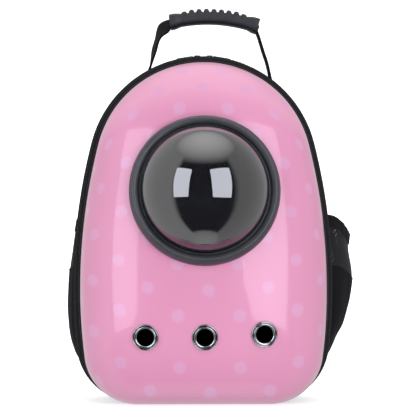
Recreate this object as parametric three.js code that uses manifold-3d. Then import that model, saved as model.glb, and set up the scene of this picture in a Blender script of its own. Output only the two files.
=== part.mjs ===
// Bubble pet carrier backpack: a hard shell front with a smoked dome window on a soft fabric body.
// Millimetres, +Z up, +X to the right as seen from the front. The front faces -Y.
// Depths are measured from the shell's rim plane, and the whole model is then moved so that
// the origin lies at the centre of the fabric body's flat base.

import * as THREE from "three";
import { mergeVertices } from "three/addons/utils/BufferGeometryUtils.js";
import Module from "manifold-3d";

// Round pieces that sit one inside the other share their number of sides.
const window_sides = 30;
const eyelet_sides = 14;

const wasm = await Module();
wasm.setup();

// Clearance between pieces that touch
const fit_gap = 0.3;

// Outline of the shell's rim: a crown arc, two long side arcs and a corner arc, all tangent
const shell_width = 296;
const shell_height = 409.5;
const widest_height = 138;
const side_radius = 700;
const lower_side_radius = 620;
const corner_radius = 64;

// Bulge of the shell: how far its face stands out, how many degrees it leans back, and how full it is
const shell_depth = 84;
const shell_wall = 2;
const shell_lean = 5;
const shell_fullness = 2.7;
const face_centre_height = 190;

// Window ring and dome
const ring_height = 255;
const ring_radius = 88.5;
const ring_width = 14;
const ring_rise = 13;
const dome_radius = 74;
const dome_rise = 53;
const dome_skirt = 19;
const dome_wall = 2.5;
const flange_width = 7;
const lug_count = 12;
const lug_length = 9;
const lug_height = 3;
const lug_depth = 2;

// Vent eyelets in a row under the window, the right one a little higher
const vent_count = 3;
const vent_pitch = 69;
const vent_height = 84.5;
const right_vent_lift = 3.4;
const vent_bore = 10;
const eyelet_radius = 15.5;
const eyelet_rise = 3;
const eyelet_barrel = 1.6;

// Rim piping, front gusset and zip
const piping_radius = 2.2;
const gusset_depth = 15;
const gusset_proud = 8;
const cloth_wall = 2.4;
const zip_tape_depth = 11;
const zip_tape_wall = 1.4;
const zip_coil_radius = 1.6;
const slider_length = 9;
const slider_width = 7.5;
const slider_height = 2.2;
const slider_spread = 7.5;
const pull_length = 20;
const pull_width = 4;
const pull_thickness = 1.4;

// Fabric body behind the zip
const body_proud = 10;
const body_depth = 83;
const body_edge = 20;

// Padded back, shoulder straps and their lower webbing
const back_pad_margin = 60;
const back_pad_thickness = 9;
const strap_width = 58;
const strap_thickness = 9;
const strap_bow = 34;
const strap_top = 380;
const strap_bottom = 150;
const strap_top_spread = 46;
const strap_bottom_spread = 88;
const webbing_width = 25;
const webbing_thickness = 2.4;
const webbing_foot_height = 42;
const webbing_foot_spread = 100;
const adjuster_height = 20;
const adjuster_width = 34;
const adjuster_thickness = 6;

// Carrying handle. The grip's tilt is in degrees, with its left end up.
const handle_shift = 9;
const handle_span = 150;
const handle_rise = 70;
const handle_depth = 30;
const handle_webbing_thickness = 4;
const grip_length = 108;
const grip_shift = 5;
const grip_arch = 8;
const grip_tilt = 2.5;
const grip_height = 16;
const grip_width = 31;
const grip_flare = 3;
const rib_count = 9;
const rib_pitch = 9;
const rib_rise = 3;

// Side pockets
const pocket_bottom = 45;
const pocket_top = 227;
const pocket_top_dip = 25;
const pocket_mouth_fullness = 3;
const pocket_front = 9;
const pocket_width = 66;
const full_pocket_bulge = 26;
const flat_pocket_bulge = 8;
const pocket_wall = 1.8;
const pocket_net_wall = 1.2;
const pocket_hem_wall = 3;

// Colours and finishes
const pink = { color: 0xf0a0c4, roughness: 0.18, metalness: 0 };
const smoke = { color: 0x2a2c33, roughness: 0.05, metalness: 0 };
const black_moulding = { color: 0x26272c, roughness: 0.45, metalness: 0 };
const chrome = { color: 0xc9c9cc, roughness: 0.15, metalness: 1 };
const black_cloth = { color: 0x222226, roughness: 0.9, metalness: 0 };
const black_net = { color: 0x18181b, roughness: 0.85, metalness: 0 };
const black_rubber = { color: 0x2b2c33, roughness: 0.6, metalness: 0 };
const black_webbing = { color: 0x1d1d20, roughness: 0.85, metalness: 0 };

// Places along the depth, from the rim plane to the back
const zip_front = 2 * piping_radius + 2 * fit_gap + gusset_depth + fit_gap;
const body_front = zip_front + zip_tape_depth + fit_gap;
const body_back = body_front + body_depth;
const base_centre = (body_front + body_back - body_edge) / 2;

const carrier = new THREE.Group();
carrier.position.y = -base_centre;

function add(name, geometry, finish, place = new THREE.Matrix4()) {
  const mesh = new THREE.Mesh(outward(geometry), new THREE.MeshStandardMaterial(finish));
  mesh.name = name;
  place.decompose(mesh.position, mesh.quaternion, mesh.scale);
  carrier.add(mesh);
}

// Closed bodies

function closedBody(positions, faces) {
  const geometry = new THREE.BufferGeometry();
  geometry.setAttribute("position", new THREE.Float32BufferAttribute(positions, 3));
  geometry.setIndex(faces);
  return geometry;
}

// Merges shared corners, drops faces without area and turns the faces outward.
function outward(geometry) {
  const bare = geometry.clone();
  bare.deleteAttribute("normal");
  bare.deleteAttribute("uv");
  const merged = mergeVertices(bare, 1e-4);
  const at = merged.attributes.position;
  const corners = [];
  let volume = 0;
  const a = new THREE.Vector3();
  const b = new THREE.Vector3();
  const c = new THREE.Vector3();
  for (let i = 0; i < merged.index.count; i += 3) {
    const face = [merged.index.getX(i), merged.index.getX(i + 1), merged.index.getX(i + 2)];
    if (new Set(face).size === 3) {
      corners.push(...face);
      a.fromBufferAttribute(at, face[0]);
      b.fromBufferAttribute(at, face[1]);
      c.fromBufferAttribute(at, face[2]);
      volume += a.dot(b.cross(c));
    }
  }
  merged.setIndex(volume < 0 ? corners.reverse() : corners);
  return merged;
}

function solid(geometry) {
  const body = outward(geometry);
  return new wasm.Manifold(new wasm.Mesh({
    numProp: 3,
    vertProperties: new Float32Array(body.attributes.position.array),
    triVerts: new Uint32Array(body.index.array),
  }));
}

function geometryOf(body) {
  const mesh = body.getMesh();
  return closedBody(Array.from(mesh.vertProperties), Array.from(mesh.triVerts));
}

function cut(geometry, ...tools) {
  return geometryOf(tools.reduce((body, tool) => body.subtract(solid(tool)), solid(geometry)));
}

function join(geometry, ...others) {
  return geometryOf(others.reduce((body, other) => body.add(solid(other)), solid(geometry)));
}

// Skins a row of loops. A loop of one point closes an end, and a ring joins its last loop to its first.
function loft(loops, ring = false) {
  const positions = loops.flat().flatMap((p) => [p.x, p.y, p.z]);
  const starts = [];
  loops.reduce((start, loop) => {
    starts.push(start);
    return start + loop.length;
  }, 0);
  const faces = [];
  const pairs = ring ? loops.length : loops.length - 1;
  for (let k = 0; k < pairs; k++) {
    const next = (k + 1) % loops.length;
    const count = Math.max(loops[k].length, loops[next].length);
    for (let i = 0; i < count; i++) {
      const j = (i + 1) % count;
      const near = loops[k].length > 1 ? [starts[k] + i, starts[k] + j] : [starts[k]];
      const far = loops[next].length > 1 ? [starts[next] + i, starts[next] + j] : [starts[next]];
      if (near.length > 1) faces.push(near[0], near[1], far[far.length - 1]);
      if (far.length > 1) faces.push(near[0], far[1], far[0]);
    }
  }
  return closedBody(positions, faces);
}

// A curved sheet with a thickness. place(u, v) gives its outer face, with u and v from 0 to 1.
function thickSheet(place, across, along, thickness, from = 0, to = 1) {
  const step = 1e-3;
  const outer = [];
  const inner = [];
  for (let j = 0; j <= along; j++) {
    const v = from + ((to - from) * j) / along;
    for (let i = 0; i <= across; i++) {
      const u = i / across;
      const point = place(u, v);
      const du = place(Math.min(u + step, 1), v).sub(place(Math.max(u - step, 0), v));
      const dv = place(u, Math.min(v + step, 1)).sub(place(u, Math.max(v - step, 0)));
      outer.push(point);
      inner.push(point.clone().addScaledVector(du.cross(dv).normalize(), -thickness));
    }
  }
  const faces = [];
  const behind = outer.length;
  const quad = (a, b, c, d) => faces.push(a, b, c, a, c, d);
  for (let j = 0; j < along; j++) {
    for (let i = 0; i < across; i++) {
      const at = j * (across + 1) + i;
      const above = at + across + 1;
      quad(at, at + 1, above + 1, above);
      quad(behind + at, behind + above, behind + above + 1, behind + at + 1);
    }
  }
  const edge = (a, b) => quad(a, behind + a, behind + b, b);
  const last = along * (across + 1);
  for (let i = 0; i < across; i++) {
    edge(i, i + 1);
    edge(last + i + 1, last + i);
  }
  for (let j = 0; j < along; j++) {
    edge((j + 1) * (across + 1), j * (across + 1));
    edge(j * (across + 1) + across, (j + 1) * (across + 1) + across);
  }
  return closedBody([...outer, ...inner].flatMap((p) => [p.x, p.y, p.z]), faces);
}

function middle(points) {
  return points.reduce((sum, p) => sum.add(p), new THREE.Vector3()).divideScalar(points.length);
}

// Outline

function arc(cx, cz, radius, from, to, steps) {
  return Array.from({ length: steps }, (_, i) => {
    const angle = from + ((to - from) * (i + 1)) / steps;
    return new THREE.Vector2(cx + radius * Math.cos(angle), cz + radius * Math.sin(angle));
  });
}

// The rim outline, grown outward above the floor by grow and drawn in all round by inset.
function outline(grow = 0, inset = 0) {
  const off = grow - inset;
  const half = shell_width / 2 + off;
  const top = shell_height + off;
  const side = side_radius + off;
  const lower = lower_side_radius + off;
  const corner = corner_radius + off;
  const rise = top - widest_height;
  const crown = (2 * side * half - half ** 2 - rise ** 2) / (2 * (side - rise));
  const shoulder = Math.atan2(rise - crown, side - half);
  const corner_z = inset + corner;
  const corner_x = half - lower + Math.sqrt((lower - corner) ** 2 - (widest_height - corner_z) ** 2);
  const haunch = Math.atan2(corner_z - widest_height, corner_x - half + lower);
  const right = [
    new THREE.Vector2(0, top),
    ...arc(0, top - crown, crown, Math.PI / 2, shoulder, 8),
    ...arc(half - side, widest_height, side, shoulder, 0, 4),
    ...arc(half - lower, widest_height, lower, 0, haunch, 3),
    ...arc(corner_x, corner_z, corner, haunch, -Math.PI / 2, 5),
    new THREE.Vector2(corner_x / 2, inset),
    new THREE.Vector2(0, inset),
  ];
  const left = right.slice(1, -1).reverse().map((p) => new THREE.Vector2(-p.x, p.y));
  return [...right, ...left];
}

function loopAt(depth, grow, inset = 0) {
  return outline(grow, inset).map((p) => new THREE.Vector3(p.x, depth, p.y));
}

// A band round the outline from a closed row of [depth, inset] pairs
function band(grow, section) {
  return loft(section.map(([depth, inset]) => loopAt(depth, grow, inset)), true);
}

// Half width of the grown outline at a height
function halfWidthAt(height, grow) {
  const points = outline(grow);
  for (let i = 1; i < points.length / 2; i++) {
    const [upper, lower] = [points[i - 1], points[i]];
    if (lower.y <= height && height <= upper.y && lower.y < upper.y) {
      return lower.x + ((upper.x - lower.x) * (height - lower.y)) / (upper.y - lower.y);
    }
  }
  return 0;
}

// Height of the grown outline's crown at a distance to the side
function crownHeightAt(across, grow) {
  const points = outline(grow);
  for (let i = 1; i < points.length / 2; i++) {
    const [inner, outer] = [points[i - 1], points[i]];
    if (inner.x <= Math.abs(across) && Math.abs(across) <= outer.x) {
      const share = (Math.abs(across) - inner.x) / (outer.x - inner.x);
      return inner.y + (outer.y - inner.y) * share;
    }
  }
  return 0;
}

// Shell

const lean_slope = Math.tan(THREE.MathUtils.degToRad(shell_lean));
const outer_steps = 8;
const inner_steps = 6;

function faceDepthAt(height) {
  return shell_depth + lean_slope * (face_centre_height - height);
}

// A loop of the bulging face. turn runs from 0 at the rim to a quarter turn at the middle.
function shellLoop(turn, swell) {
  const share = Math.cos(turn) ** (2 / shell_fullness);
  const out = Math.sin(turn) ** (2 / shell_fullness);
  return outline(Math.max(swell, 0), Math.max(-swell, 0)).map((p) => {
    const z = face_centre_height + (p.y - face_centre_height) * share;
    return new THREE.Vector3(p.x * share, -(faceDepthAt(z) + swell) * out, z);
  });
}

function shellSkin(swell, steps) {
  const loops = [];
  for (let i = 0; i < steps; i++) loops.push(shellLoop((Math.PI / 2) * (i / steps), swell));
  const crown = -(faceDepthAt(face_centre_height) + swell);
  return [...loops, [new THREE.Vector3(0, crown, face_centre_height)]];
}

// The shell's outer form without its hollow, swollen by a clearance, to seat pieces on
function shellForm(swell) {
  return loft([middleAt(2 * body_front), loopAt(2 * body_front, swell), ...shellSkin(swell, outer_steps)]);
}

// Depth of the shell's face at a place: its share of the way out to the rim sets the bulge.
function faceY(x, z) {
  const rim = outline();
  const target = Math.atan2(x, z - face_centre_height);
  const reach = Math.hypot(x, z - face_centre_height);
  for (let i = 0; i < rim.length; i++) {
    const a = rim[i];
    const b = rim[(i + 1) % rim.length];
    const [ax, az] = [a.x, a.y - face_centre_height];
    const [bx, bz] = [b.x - a.x, b.y - a.y];
    const [dx, dz] = [Math.sin(target), Math.cos(target)];
    const det = dz * bx - dx * bz;
    const along = (dx * az - dz * ax) / det;
    const distance = (bx * az - bz * ax) / det;
    if (along >= 0 && along <= 1 && distance > 0) {
      const share = Math.min(reach / distance, 1);
      return -faceDepthAt(z) * (1 - share ** shell_fullness) ** (1 / shell_fullness);
    }
  }
  return 0;
}

function faceNormal(x, z) {
  const step = 2;
  const across = new THREE.Vector3(2 * step, faceY(x + step, z) - faceY(x - step, z), 0);
  const up = new THREE.Vector3(0, faceY(x, z + step) - faceY(x, z - step), 2 * step);
  return across.cross(up).normalize();
}

// A place on the face whose +Y axis points out of it
function seat(origin, axis) {
  const turn = new THREE.Quaternion().setFromUnitVectors(new THREE.Vector3(0, 1, 0), axis);
  return new THREE.Matrix4().compose(origin, turn, new THREE.Vector3(1, 1, 1));
}

function turned(profile, segments) {
  return new THREE.LatheGeometry(profile.map(([r, h]) => new THREE.Vector2(r, h)), segments);
}

// A cutter whose flats, not its corners, lie at the radius
function drill(radius, reach, segments, place) {
  const corner = radius / Math.cos(Math.PI / segments);
  return new THREE.CylinderGeometry(corner, corner, 2 * reach, segments).applyMatrix4(place);
}

// The window's seat passes through the face at the ring's top and bottom edges.
const ring_top = new THREE.Vector3(0, faceY(0, ring_height + ring_radius), ring_height + ring_radius);
const ring_bottom = new THREE.Vector3(0, faceY(0, ring_height - ring_radius), ring_height - ring_radius);
const ring_centre = ring_top.clone().add(ring_bottom).divideScalar(2);
const ring_up = ring_top.clone().sub(ring_bottom).normalize();
const ring_axis = new THREE.Vector3(1, 0, 0).cross(ring_up).normalize();
const window_seat = seat(ring_centre, ring_axis);
const window_hole = dome_radius + flange_width / 2;

const vent_seats = Array.from({ length: vent_count }, (_, i) => {
  const x = (i - (vent_count - 1) / 2) * vent_pitch;
  const z = vent_height + (i === vent_count - 1 ? right_vent_lift : 0);
  return seat(new THREE.Vector3(x, faceY(x, z), z), faceNormal(x, z));
});
const barrel_radius = vent_bore + eyelet_barrel;

function frontShell() {
  const body = loft([...shellSkin(0, outer_steps).reverse(), ...shellSkin(-shell_wall, inner_steps)]);
  const window = drill(window_hole, shell_depth / 2, window_sides, window_seat);
  const bore = barrel_radius + fit_gap;
  const vents = vent_seats.map((place) => drill(bore, 4 * shell_wall, eyelet_sides, place));
  return cut(body, window, ...vents);
}

add("front_shell", frontShell(), pink);

// Section of the ring: outer bevel, crest, sloping face, groove and inner lip
// Columns: share of the width in from the outer edge, share of the rise
const ring_section = [
  [0, 0.3], [0.07, 0.6], [0.25, 0.94], [0.37, 1], [0.54, 0.95], [0.75, 0.82],
  [0.8, 0.58], [0.87, 0.58], [0.9, 0.7], [0.97, 0.7],
];

// The ring's skirt runs down to the face, and a rebate behind its lip holds the dome's flange.
function windowRing() {
  const skirt = ring_rise;
  const lip = dome_radius + fit_gap;
  const rebate = dome_radius + flange_width + fit_gap;
  const ledge = dome_wall + 2 * fit_gap;
  const profile = [
    [ring_radius, -skirt],
    ...ring_section.map(([into, up]) => [ring_radius - into * ring_width, up * ring_rise]),
    [lip, ring_section.at(-1)[1] * ring_rise - fit_gap],
    [lip, ledge], [rebate, ledge], [rebate, -skirt], [ring_radius, -skirt],
  ];
  return cut(turned(profile, window_sides).applyMatrix4(window_seat), shellForm(fit_gap));
}

add("window_ring", windowRing(), black_moulding);

// Dome: a round cap on a short skirt, a flange that the ring clamps and a ring of small lugs
function bubbleDome() {
  const cap = (radius, rise, steps) => {
    const ball = (radius ** 2 + rise ** 2) / (2 * rise);
    const rim = Math.asin(Math.min(radius / ball, 1));
    return Array.from({ length: steps + 1 }, (_, i) => {
      const angle = rim * (1 - i / steps);
      return [ball * Math.sin(angle), dome_skirt + rise - ball + ball * Math.cos(angle)];
    });
  };
  const flange = dome_radius + flange_width;
  const foot = fit_gap;
  const profile = [
    ...cap(dome_radius, dome_rise, 7).reverse(),
    [dome_radius, foot + dome_wall], [flange, foot + dome_wall], [flange, foot - 2 * dome_wall],
    [dome_radius - dome_wall, foot - 2 * dome_wall],
    ...cap(dome_radius - dome_wall, dome_rise - dome_wall, 6),
  ];
  profile[0][0] = 0;
  profile[profile.length - 1][0] = 0;
  const lugs = Array.from({ length: lug_count }, (_, i) => {
    const lug = new THREE.BoxGeometry(lug_length, lug_height, lug_depth);
    lug.translate(0, foot + dome_wall + lug_height / 2, dome_radius - dome_wall - lug_depth / 2 + fit_gap);
    return lug.rotateY((2 * Math.PI * i) / lug_count);
  });
  const body = join(turned(profile, window_sides), ...lugs).applyMatrix4(window_seat);
  return cut(body, shellForm(fit_gap));
}

add("bubble_dome", bubbleDome(), smoke);

// Face of an eyelet: two rolled rims with a groove between them
// Columns: share of the way from the barrel out to the edge, share of the rise
const eyelet_section = [[1, 0.4], [0.7, 0.9], [0.4, 0.45], [0, 1]];

function eyelet() {
  const back = -3 * shell_wall;
  const face = eyelet_radius - barrel_radius;
  const profile = [
    [vent_bore, back], [barrel_radius, back], [barrel_radius, fit_gap], [eyelet_radius, fit_gap],
    ...eyelet_section.map(([out, up]) => [barrel_radius + out * face, up * eyelet_rise]),
    [vent_bore, eyelet_rise / 2], [vent_bore, back],
  ];
  return turned(profile, eyelet_sides);
}

vent_seats.forEach((place, i) => {
  add(`vent_eyelet_${i + 1}`, eyelet(), chrome, place);
});

// Piping round the rim, front gusset, zip tape and zip coil

function roundSection(depth, inset, radius, sides) {
  return Array.from({ length: sides }, (_, i) => {
    const angle = (2 * Math.PI * (i + 0.5)) / sides;
    return [depth + radius * Math.cos(angle), inset + radius * Math.sin(angle)];
  });
}

const piping_depth = fit_gap + piping_radius;
const gusset_front = 2 * piping_radius + 2 * fit_gap;
const gusset_back = gusset_front + gusset_depth;

const piping_section = roundSection(piping_depth, piping_radius, piping_radius, 5);

add("rim_piping", band(piping_radius, piping_section), black_cloth);

// The gusset spreads from the piping to its full stand-out, with a soft crown and a tucked back edge.
const gusset_start = gusset_proud - piping_radius;
const gusset_crown = cloth_wall / 4;
const gusset_tuck = cloth_wall / 2;

add("front_gusset", band(gusset_proud, [
  [gusset_front, gusset_start], [gusset_front, gusset_start + cloth_wall],
  [gusset_back, gusset_tuck + cloth_wall], [gusset_back, gusset_tuck],
  [(gusset_front + gusset_back) / 2, gusset_crown],
]), black_cloth);

const tape_inset = zip_coil_radius + zip_tape_wall / 2;
const coil_depth = zip_front + zip_tape_depth / 2;
const coil_foot_inset = tape_inset - fit_gap;
const coil_top_inset = coil_foot_inset - zip_coil_radius;
const coil_top_half = 0.7 * zip_coil_radius;

add("zip_tape", band(gusset_proud, [
  [zip_front, tape_inset], [zip_front + zip_tape_depth, tape_inset],
  [zip_front + zip_tape_depth, tape_inset + zip_tape_wall], [zip_front, tape_inset + zip_tape_wall],
]), black_cloth);

add("zip_coil", band(gusset_proud, [
  [coil_depth - zip_coil_radius, coil_foot_inset], [coil_depth + zip_coil_radius, coil_foot_inset],
  [coil_depth + coil_top_half, coil_top_inset], [coil_depth - coil_top_half, coil_top_inset],
]), black_moulding);

// Two sliders ride on the coil at the crown, each with a pull that lies away from the other.
function slider(side) {
  const profile = new THREE.Shape();
  const half = slider_length / 2;
  profile.moveTo(-half, 0);
  profile.lineTo(half, 0);
  profile.lineTo(0.8 * half, slider_height);
  profile.lineTo(-0.6 * half, slider_height);
  const body = new THREE.ExtrudeGeometry(profile, { depth: slider_width, bevelEnabled: false });
  body.rotateX(Math.PI / 2);
  body.translate(side * slider_spread, coil_depth + slider_width / 2, 0);
  return body;
}

function pull(side) {
  const shape = new THREE.Shape();
  const neck = 0.4 * pull_length;
  shape.moveTo(0, -pull_width / 4);
  shape.lineTo(neck, -pull_width / 2);
  shape.absarc(pull_length - pull_width / 2, 0, pull_width / 2, -Math.PI / 2, Math.PI / 2, false);
  shape.lineTo(neck, pull_width / 2);
  shape.lineTo(0, pull_width / 4);
  const flat = { depth: pull_thickness, bevelEnabled: false, curveSegments: 4 };
  const body = new THREE.ExtrudeGeometry(shape, flat);
  return side < 0 ? body.rotateZ(Math.PI) : body;
}

function coilTopAt(across) {
  return crownHeightAt(across, gusset_proud - coil_top_inset) + fit_gap;
}

for (const [word, side] of [["left", -1], ["right", 1]]) {
  const rest = new THREE.Matrix4().makeTranslation(0, 0, coilTopAt(slider_spread - slider_length / 2));
  add(`zip_slider_${word}`, slider(side), black_moulding, rest);
  const start = slider_spread + slider_length / 2 + fit_gap;
  const end = start + pull_length;
  const bulge = coilTopAt((start + end) / 2) - (coilTopAt(start) + coilTopAt(end)) / 2;
  const slope = Math.atan2(coilTopAt(start) - coilTopAt(end), pull_length);
  const foot = coilTopAt(start) + bulge + fit_gap;
  const lie = new THREE.Matrix4().makeTranslation(side * start, coil_depth, foot);
  lie.multiply(new THREE.Matrix4().makeRotationY(side * slope));
  add(`zip_pull_${word}`, pull(side), black_moulding, lie);
}

// Fabric body: an open cup with a flat base and soft back edges

const body_edge_steps = 3;

// Columns: depth of the loop, how far it draws in from the full width as a share of its stand-out
const body_barrel = [[body_front, 0.2], [body_front + body_depth / 4, 0], [body_back - body_edge, 0.06]];
const back_proud = body_proud * (1 - body_barrel.at(-1)[1]);

function bodySkin(inset) {
  const loops = body_barrel.map(([depth, draw]) => loopAt(depth, body_proud * (1 - draw), inset));
  const reach = body_edge - inset;
  for (let i = 1; i <= body_edge_steps; i++) {
    const turn = (Math.PI / 2) * (i / body_edge_steps);
    const depth = body_back - body_edge + reach * Math.sin(turn);
    loops.push(loopAt(depth, back_proud, inset + reach * (1 - Math.cos(turn))));
  }
  return loops;
}

function middleAt(depth) {
  return [new THREE.Vector3(0, depth, face_centre_height)];
}

function bodyCup() {
  return loft([middleAt(body_back), ...bodySkin(0).reverse(), ...bodySkin(cloth_wall),
    middleAt(body_back - cloth_wall)]);
}

// The body's outer form without its hollow, grown by a clearance, to seat pieces on
function bodyForm(clear) {
  const loops = bodySkin(0).map((loop) => loop.map((p) => {
    const out = new THREE.Vector3(p.x, 0, p.z - face_centre_height).normalize();
    return p.clone().addScaledVector(out, clear);
  }));
  const last = loops.length - 1;
  loops[last].forEach((p) => { p.y += clear; });
  return loft([middleAt(body_front), ...loops, middleAt(body_back + clear)]);
}

add("fabric_body", bodyCup(), black_cloth);

// Padded back, with a soft edge
// Columns: share of the thickness, draw-in as a share of the thickness
const pad_rows = [[0, 0], [0.35, -0.25], [0.75, 0], [1, 0.4]];

function backPad() {
  const start = body_back + fit_gap;
  const loops = pad_rows.map(([share, draw]) =>
    loopAt(start + share * back_pad_thickness, 0, back_pad_margin + draw * back_pad_thickness));
  return loft([middleAt(start), ...loops, middleAt(start + back_pad_thickness)]);
}

add("back_pad", backPad(), black_cloth);

// Shoulder straps: each leaves the back near the crown, bows out and ends at its adjuster.
// Columns: share of the way down, share of the spread, share of the bow
const strap_rows = [
  [0.00, 0.00, -0.30],
  [0.06, 0.00, 0.25],
  [0.16, 0.02, 0.62],
  [0.32, 0.18, 0.92],
  [0.50, 0.50, 1.00],
  [0.70, 0.82, 0.96],
  [0.86, 0.96, 0.86],
  [1.00, 1.00, 0.74],
];

function smoothCurve(points) {
  return new THREE.CatmullRomCurve3(points, false, "centripetal");
}

const strap_base = body_back + back_pad_thickness;

function strapRoute(side) {
  return smoothCurve(strap_rows.map(([down, out, bow]) => new THREE.Vector3(
    side * (strap_top_spread + (strap_bottom_spread - strap_top_spread) * out),
    bow < 0 ? body_back + bow * strap_thickness : strap_base + bow * strap_bow,
    strap_top + (strap_bottom - strap_top) * down,
  )));
}

// Section of a band of cloth: a flat with soft edges
// Columns: share of the half width, share of the half thickness
const ribbon_section = [
  [-1, 0.3], [-0.86, 1], [0.86, 1], [1, 0.3], [1, -0.3], [0.86, -1], [-0.86, -1], [-1, -0.3],
];

// A flat band along a route, its width along the given direction
function ribbon(route, width, thickness, steps, wide, taper = () => 1) {
  const loops = [];
  for (let i = 0; i <= steps; i++) {
    const t = i / steps;
    const centre = route.getPointAt(t);
    const along = route.getTangentAt(t);
    const normal = along.clone().cross(wide).normalize();
    const across = normal.clone().cross(along).normalize();
    const half = (width / 2) * taper(t);
    loops.push(ribbon_section.map(([a, n]) => centre.clone()
      .addScaledVector(across, a * half).addScaledVector(normal, (n * thickness) / 2)));
  }
  return loft([[middle(loops[0])], ...loops, [middle(loops[steps])]]);
}

const across_x = new THREE.Vector3(1, 0, 0);
const across_y = new THREE.Vector3(0, 1, 0);

// The strap narrows to its adjuster over its last stretch.
function strapTaper(t) {
  const taper_start = 0.88;
  const end = adjuster_width / strap_width;
  return t < taper_start ? 1 : 1 - ((1 - end) * (t - taper_start)) / (1 - taper_start);
}

for (const [word, side] of [["left", -1], ["right", 1]]) {
  const route = strapRoute(side);
  const strap = ribbon(route, strap_width, strap_thickness, 12, across_x, strapTaper);
  add(`shoulder_strap_${word}`, cut(strap, bodyForm(fit_gap)), black_cloth);
  const end = route.getPointAt(1);
  const heading = route.getTangentAt(1);
  const adjuster_centre = end.clone().addScaledVector(heading, fit_gap + adjuster_height / 2);
  const turn = new THREE.Quaternion().setFromUnitVectors(new THREE.Vector3(0, 0, -1), heading);
  const place = new THREE.Matrix4().compose(adjuster_centre, turn, new THREE.Vector3(1, 1, 1));
  add(`strap_adjuster_${word}`, adjuster(), black_moulding, place);
  const start = end.clone().addScaledVector(heading, 2 * fit_gap + adjuster_height);
  const webbing = lowerWebbing(start, heading, side);
  add(`strap_webbing_${word}`, cut(webbing, bodyForm(fit_gap)), black_webbing);
}

function adjuster() {
  const plate = new THREE.Shape();
  const [w, h] = [adjuster_width / 2, adjuster_height / 2];
  const nip = adjuster_height / 6;
  plate.moveTo(-w + nip, -h);
  plate.lineTo(w - nip, -h);
  plate.lineTo(w, -h + nip);
  plate.lineTo(w, h - nip);
  plate.lineTo(w - nip, h);
  plate.lineTo(-w + nip, h);
  plate.lineTo(-w, h - nip);
  plate.lineTo(-w, -h + nip);
  const body = new THREE.ExtrudeGeometry(plate, { depth: adjuster_thickness, bevelEnabled: false });
  return body.rotateX(Math.PI / 2).translate(0, adjuster_thickness / 2, 0);
}

function lowerWebbing(start, heading, side) {
  const sunk = 4 * webbing_thickness;
  const foot = new THREE.Vector3(side * webbing_foot_spread, body_back - sunk, webbing_foot_height);
  const drop = start.z - foot.z;
  const landing = foot.clone().add(new THREE.Vector3(0, sunk + webbing_thickness, drop / 12));
  const belly = start.clone().lerp(landing, 0.62);
  belly.y += 2 * webbing_thickness;
  const route = smoothCurve([start, start.clone().addScaledVector(heading, drop / 5), belly, landing, foot]);
  return ribbon(route, webbing_width, webbing_thickness, 7, across_x);
}

// Carrying handle: one band of webbing from the body's crown through a ribbed rubber grip
// Columns: share of the half span from the middle, share of the rise
const handle_left_leg = [[-0.965, 0.17], [-0.915, 0.40], [-0.88, 0.55], [-0.83, 0.69], [-0.75, 0.82]];
const handle_right_leg = [[0.765, 0.78], [0.80, 0.66], [0.84, 0.52], [0.88, 0.38], [0.93, 0.22]];

const handle_depth_place = body_front + handle_depth;
const handle_base = crownHeightAt(handle_span / 2, body_proud);

function handleFoot(side) {
  const x = handle_shift + (side * handle_span) / 2;
  return new THREE.Vector3(x, handle_depth_place, crownHeightAt(x, body_proud) - 3 * cloth_wall);
}

function handleLeg(rows) {
  return rows.map(([out, up]) => new THREE.Vector3(
    handle_shift + (out * handle_span) / 2, handle_depth_place, handle_base + up * handle_rise));
}

const grip_centre = handle_shift + grip_shift;
const grip_ends_height = handle_base + handle_rise - grip_arch;
const grip_slope = Math.tan(THREE.MathUtils.degToRad(grip_tilt));

function gripPoint(share) {
  const out = share * (grip_length / 2);
  const z = grip_ends_height + grip_arch * (1 - share ** 2) - grip_slope * out;
  return new THREE.Vector3(grip_centre + out, handle_depth_place, z);
}

const handle_route = smoothCurve([
  handleFoot(-1), ...handleLeg(handle_left_leg),
  ...[-1, -0.6, -0.2, 0.2, 0.6, 1].map(gripPoint),
  ...handleLeg(handle_right_leg), handleFoot(1),
]);

const handle_steps = 24;

function handleBand(clear) {
  return ribbon(handle_route, webbing_width + 2 * clear, handle_webbing_thickness + 2 * clear,
    handle_steps, across_y);
}

add("handle_webbing", cut(handleBand(0), bodyForm(fit_gap)), black_webbing);

// Section of the grip. Columns: share of the half width, share of the half height
const grip_section = [
  [-1, -0.45], [-0.7, -1], [0.7, -1], [1, -0.45], [1, 0.45], [0.72, 1], [-0.72, 1], [-1, 0.45],
];
const end_rib_share = 0.6;
const collar_start = 0.86;
const collar_end = 0.97;

// Grip: a soft block round the webbing with flared collars at its ends and ribs on top
function handleGrip() {
  const half = grip_length / 2;
  const ribs_half = ((rib_count - 1) / 2) * rib_pitch;
  const flank = rib_pitch / 4 / half;
  const stations = [[-1, 0, grip_flare], [-collar_end, 0, grip_flare], [-collar_start, 0, 0]];
  for (let i = 0; i < rib_count; i++) {
    const x = (-ribs_half + i * rib_pitch) / half;
    const is_end = i === 0 || i === rib_count - 1;
    const rise = is_end ? end_rib_share * rib_rise : rib_rise;
    stations.push([x - 2 * flank, 0, 0], [x - flank, rise, 0], [x + flank, rise, 0]);
  }
  stations.push([(ribs_half + rib_pitch / 2) / half, 0, 0]);
  stations.push([collar_start, 0, 0], [collar_end, 0, grip_flare], [1, 0, grip_flare]);
  const loops = stations.map(([share, rib, flare]) => {
    const centre = gripPoint(share);
    const [w, h] = [(grip_width + flare) / 2, (grip_height + flare) / 2];
    return grip_section.map(([a, b]) => new THREE.Vector3(
      centre.x, centre.y + a * w, centre.z + b * h + (b === 1 ? rib : 0)));
  });
  return cut(loft([[gripPoint(-1)], ...loops, [gripPoint(1)]]), handleBand(fit_gap));
}

add("handle_grip", handleGrip(), black_rubber);

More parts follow.
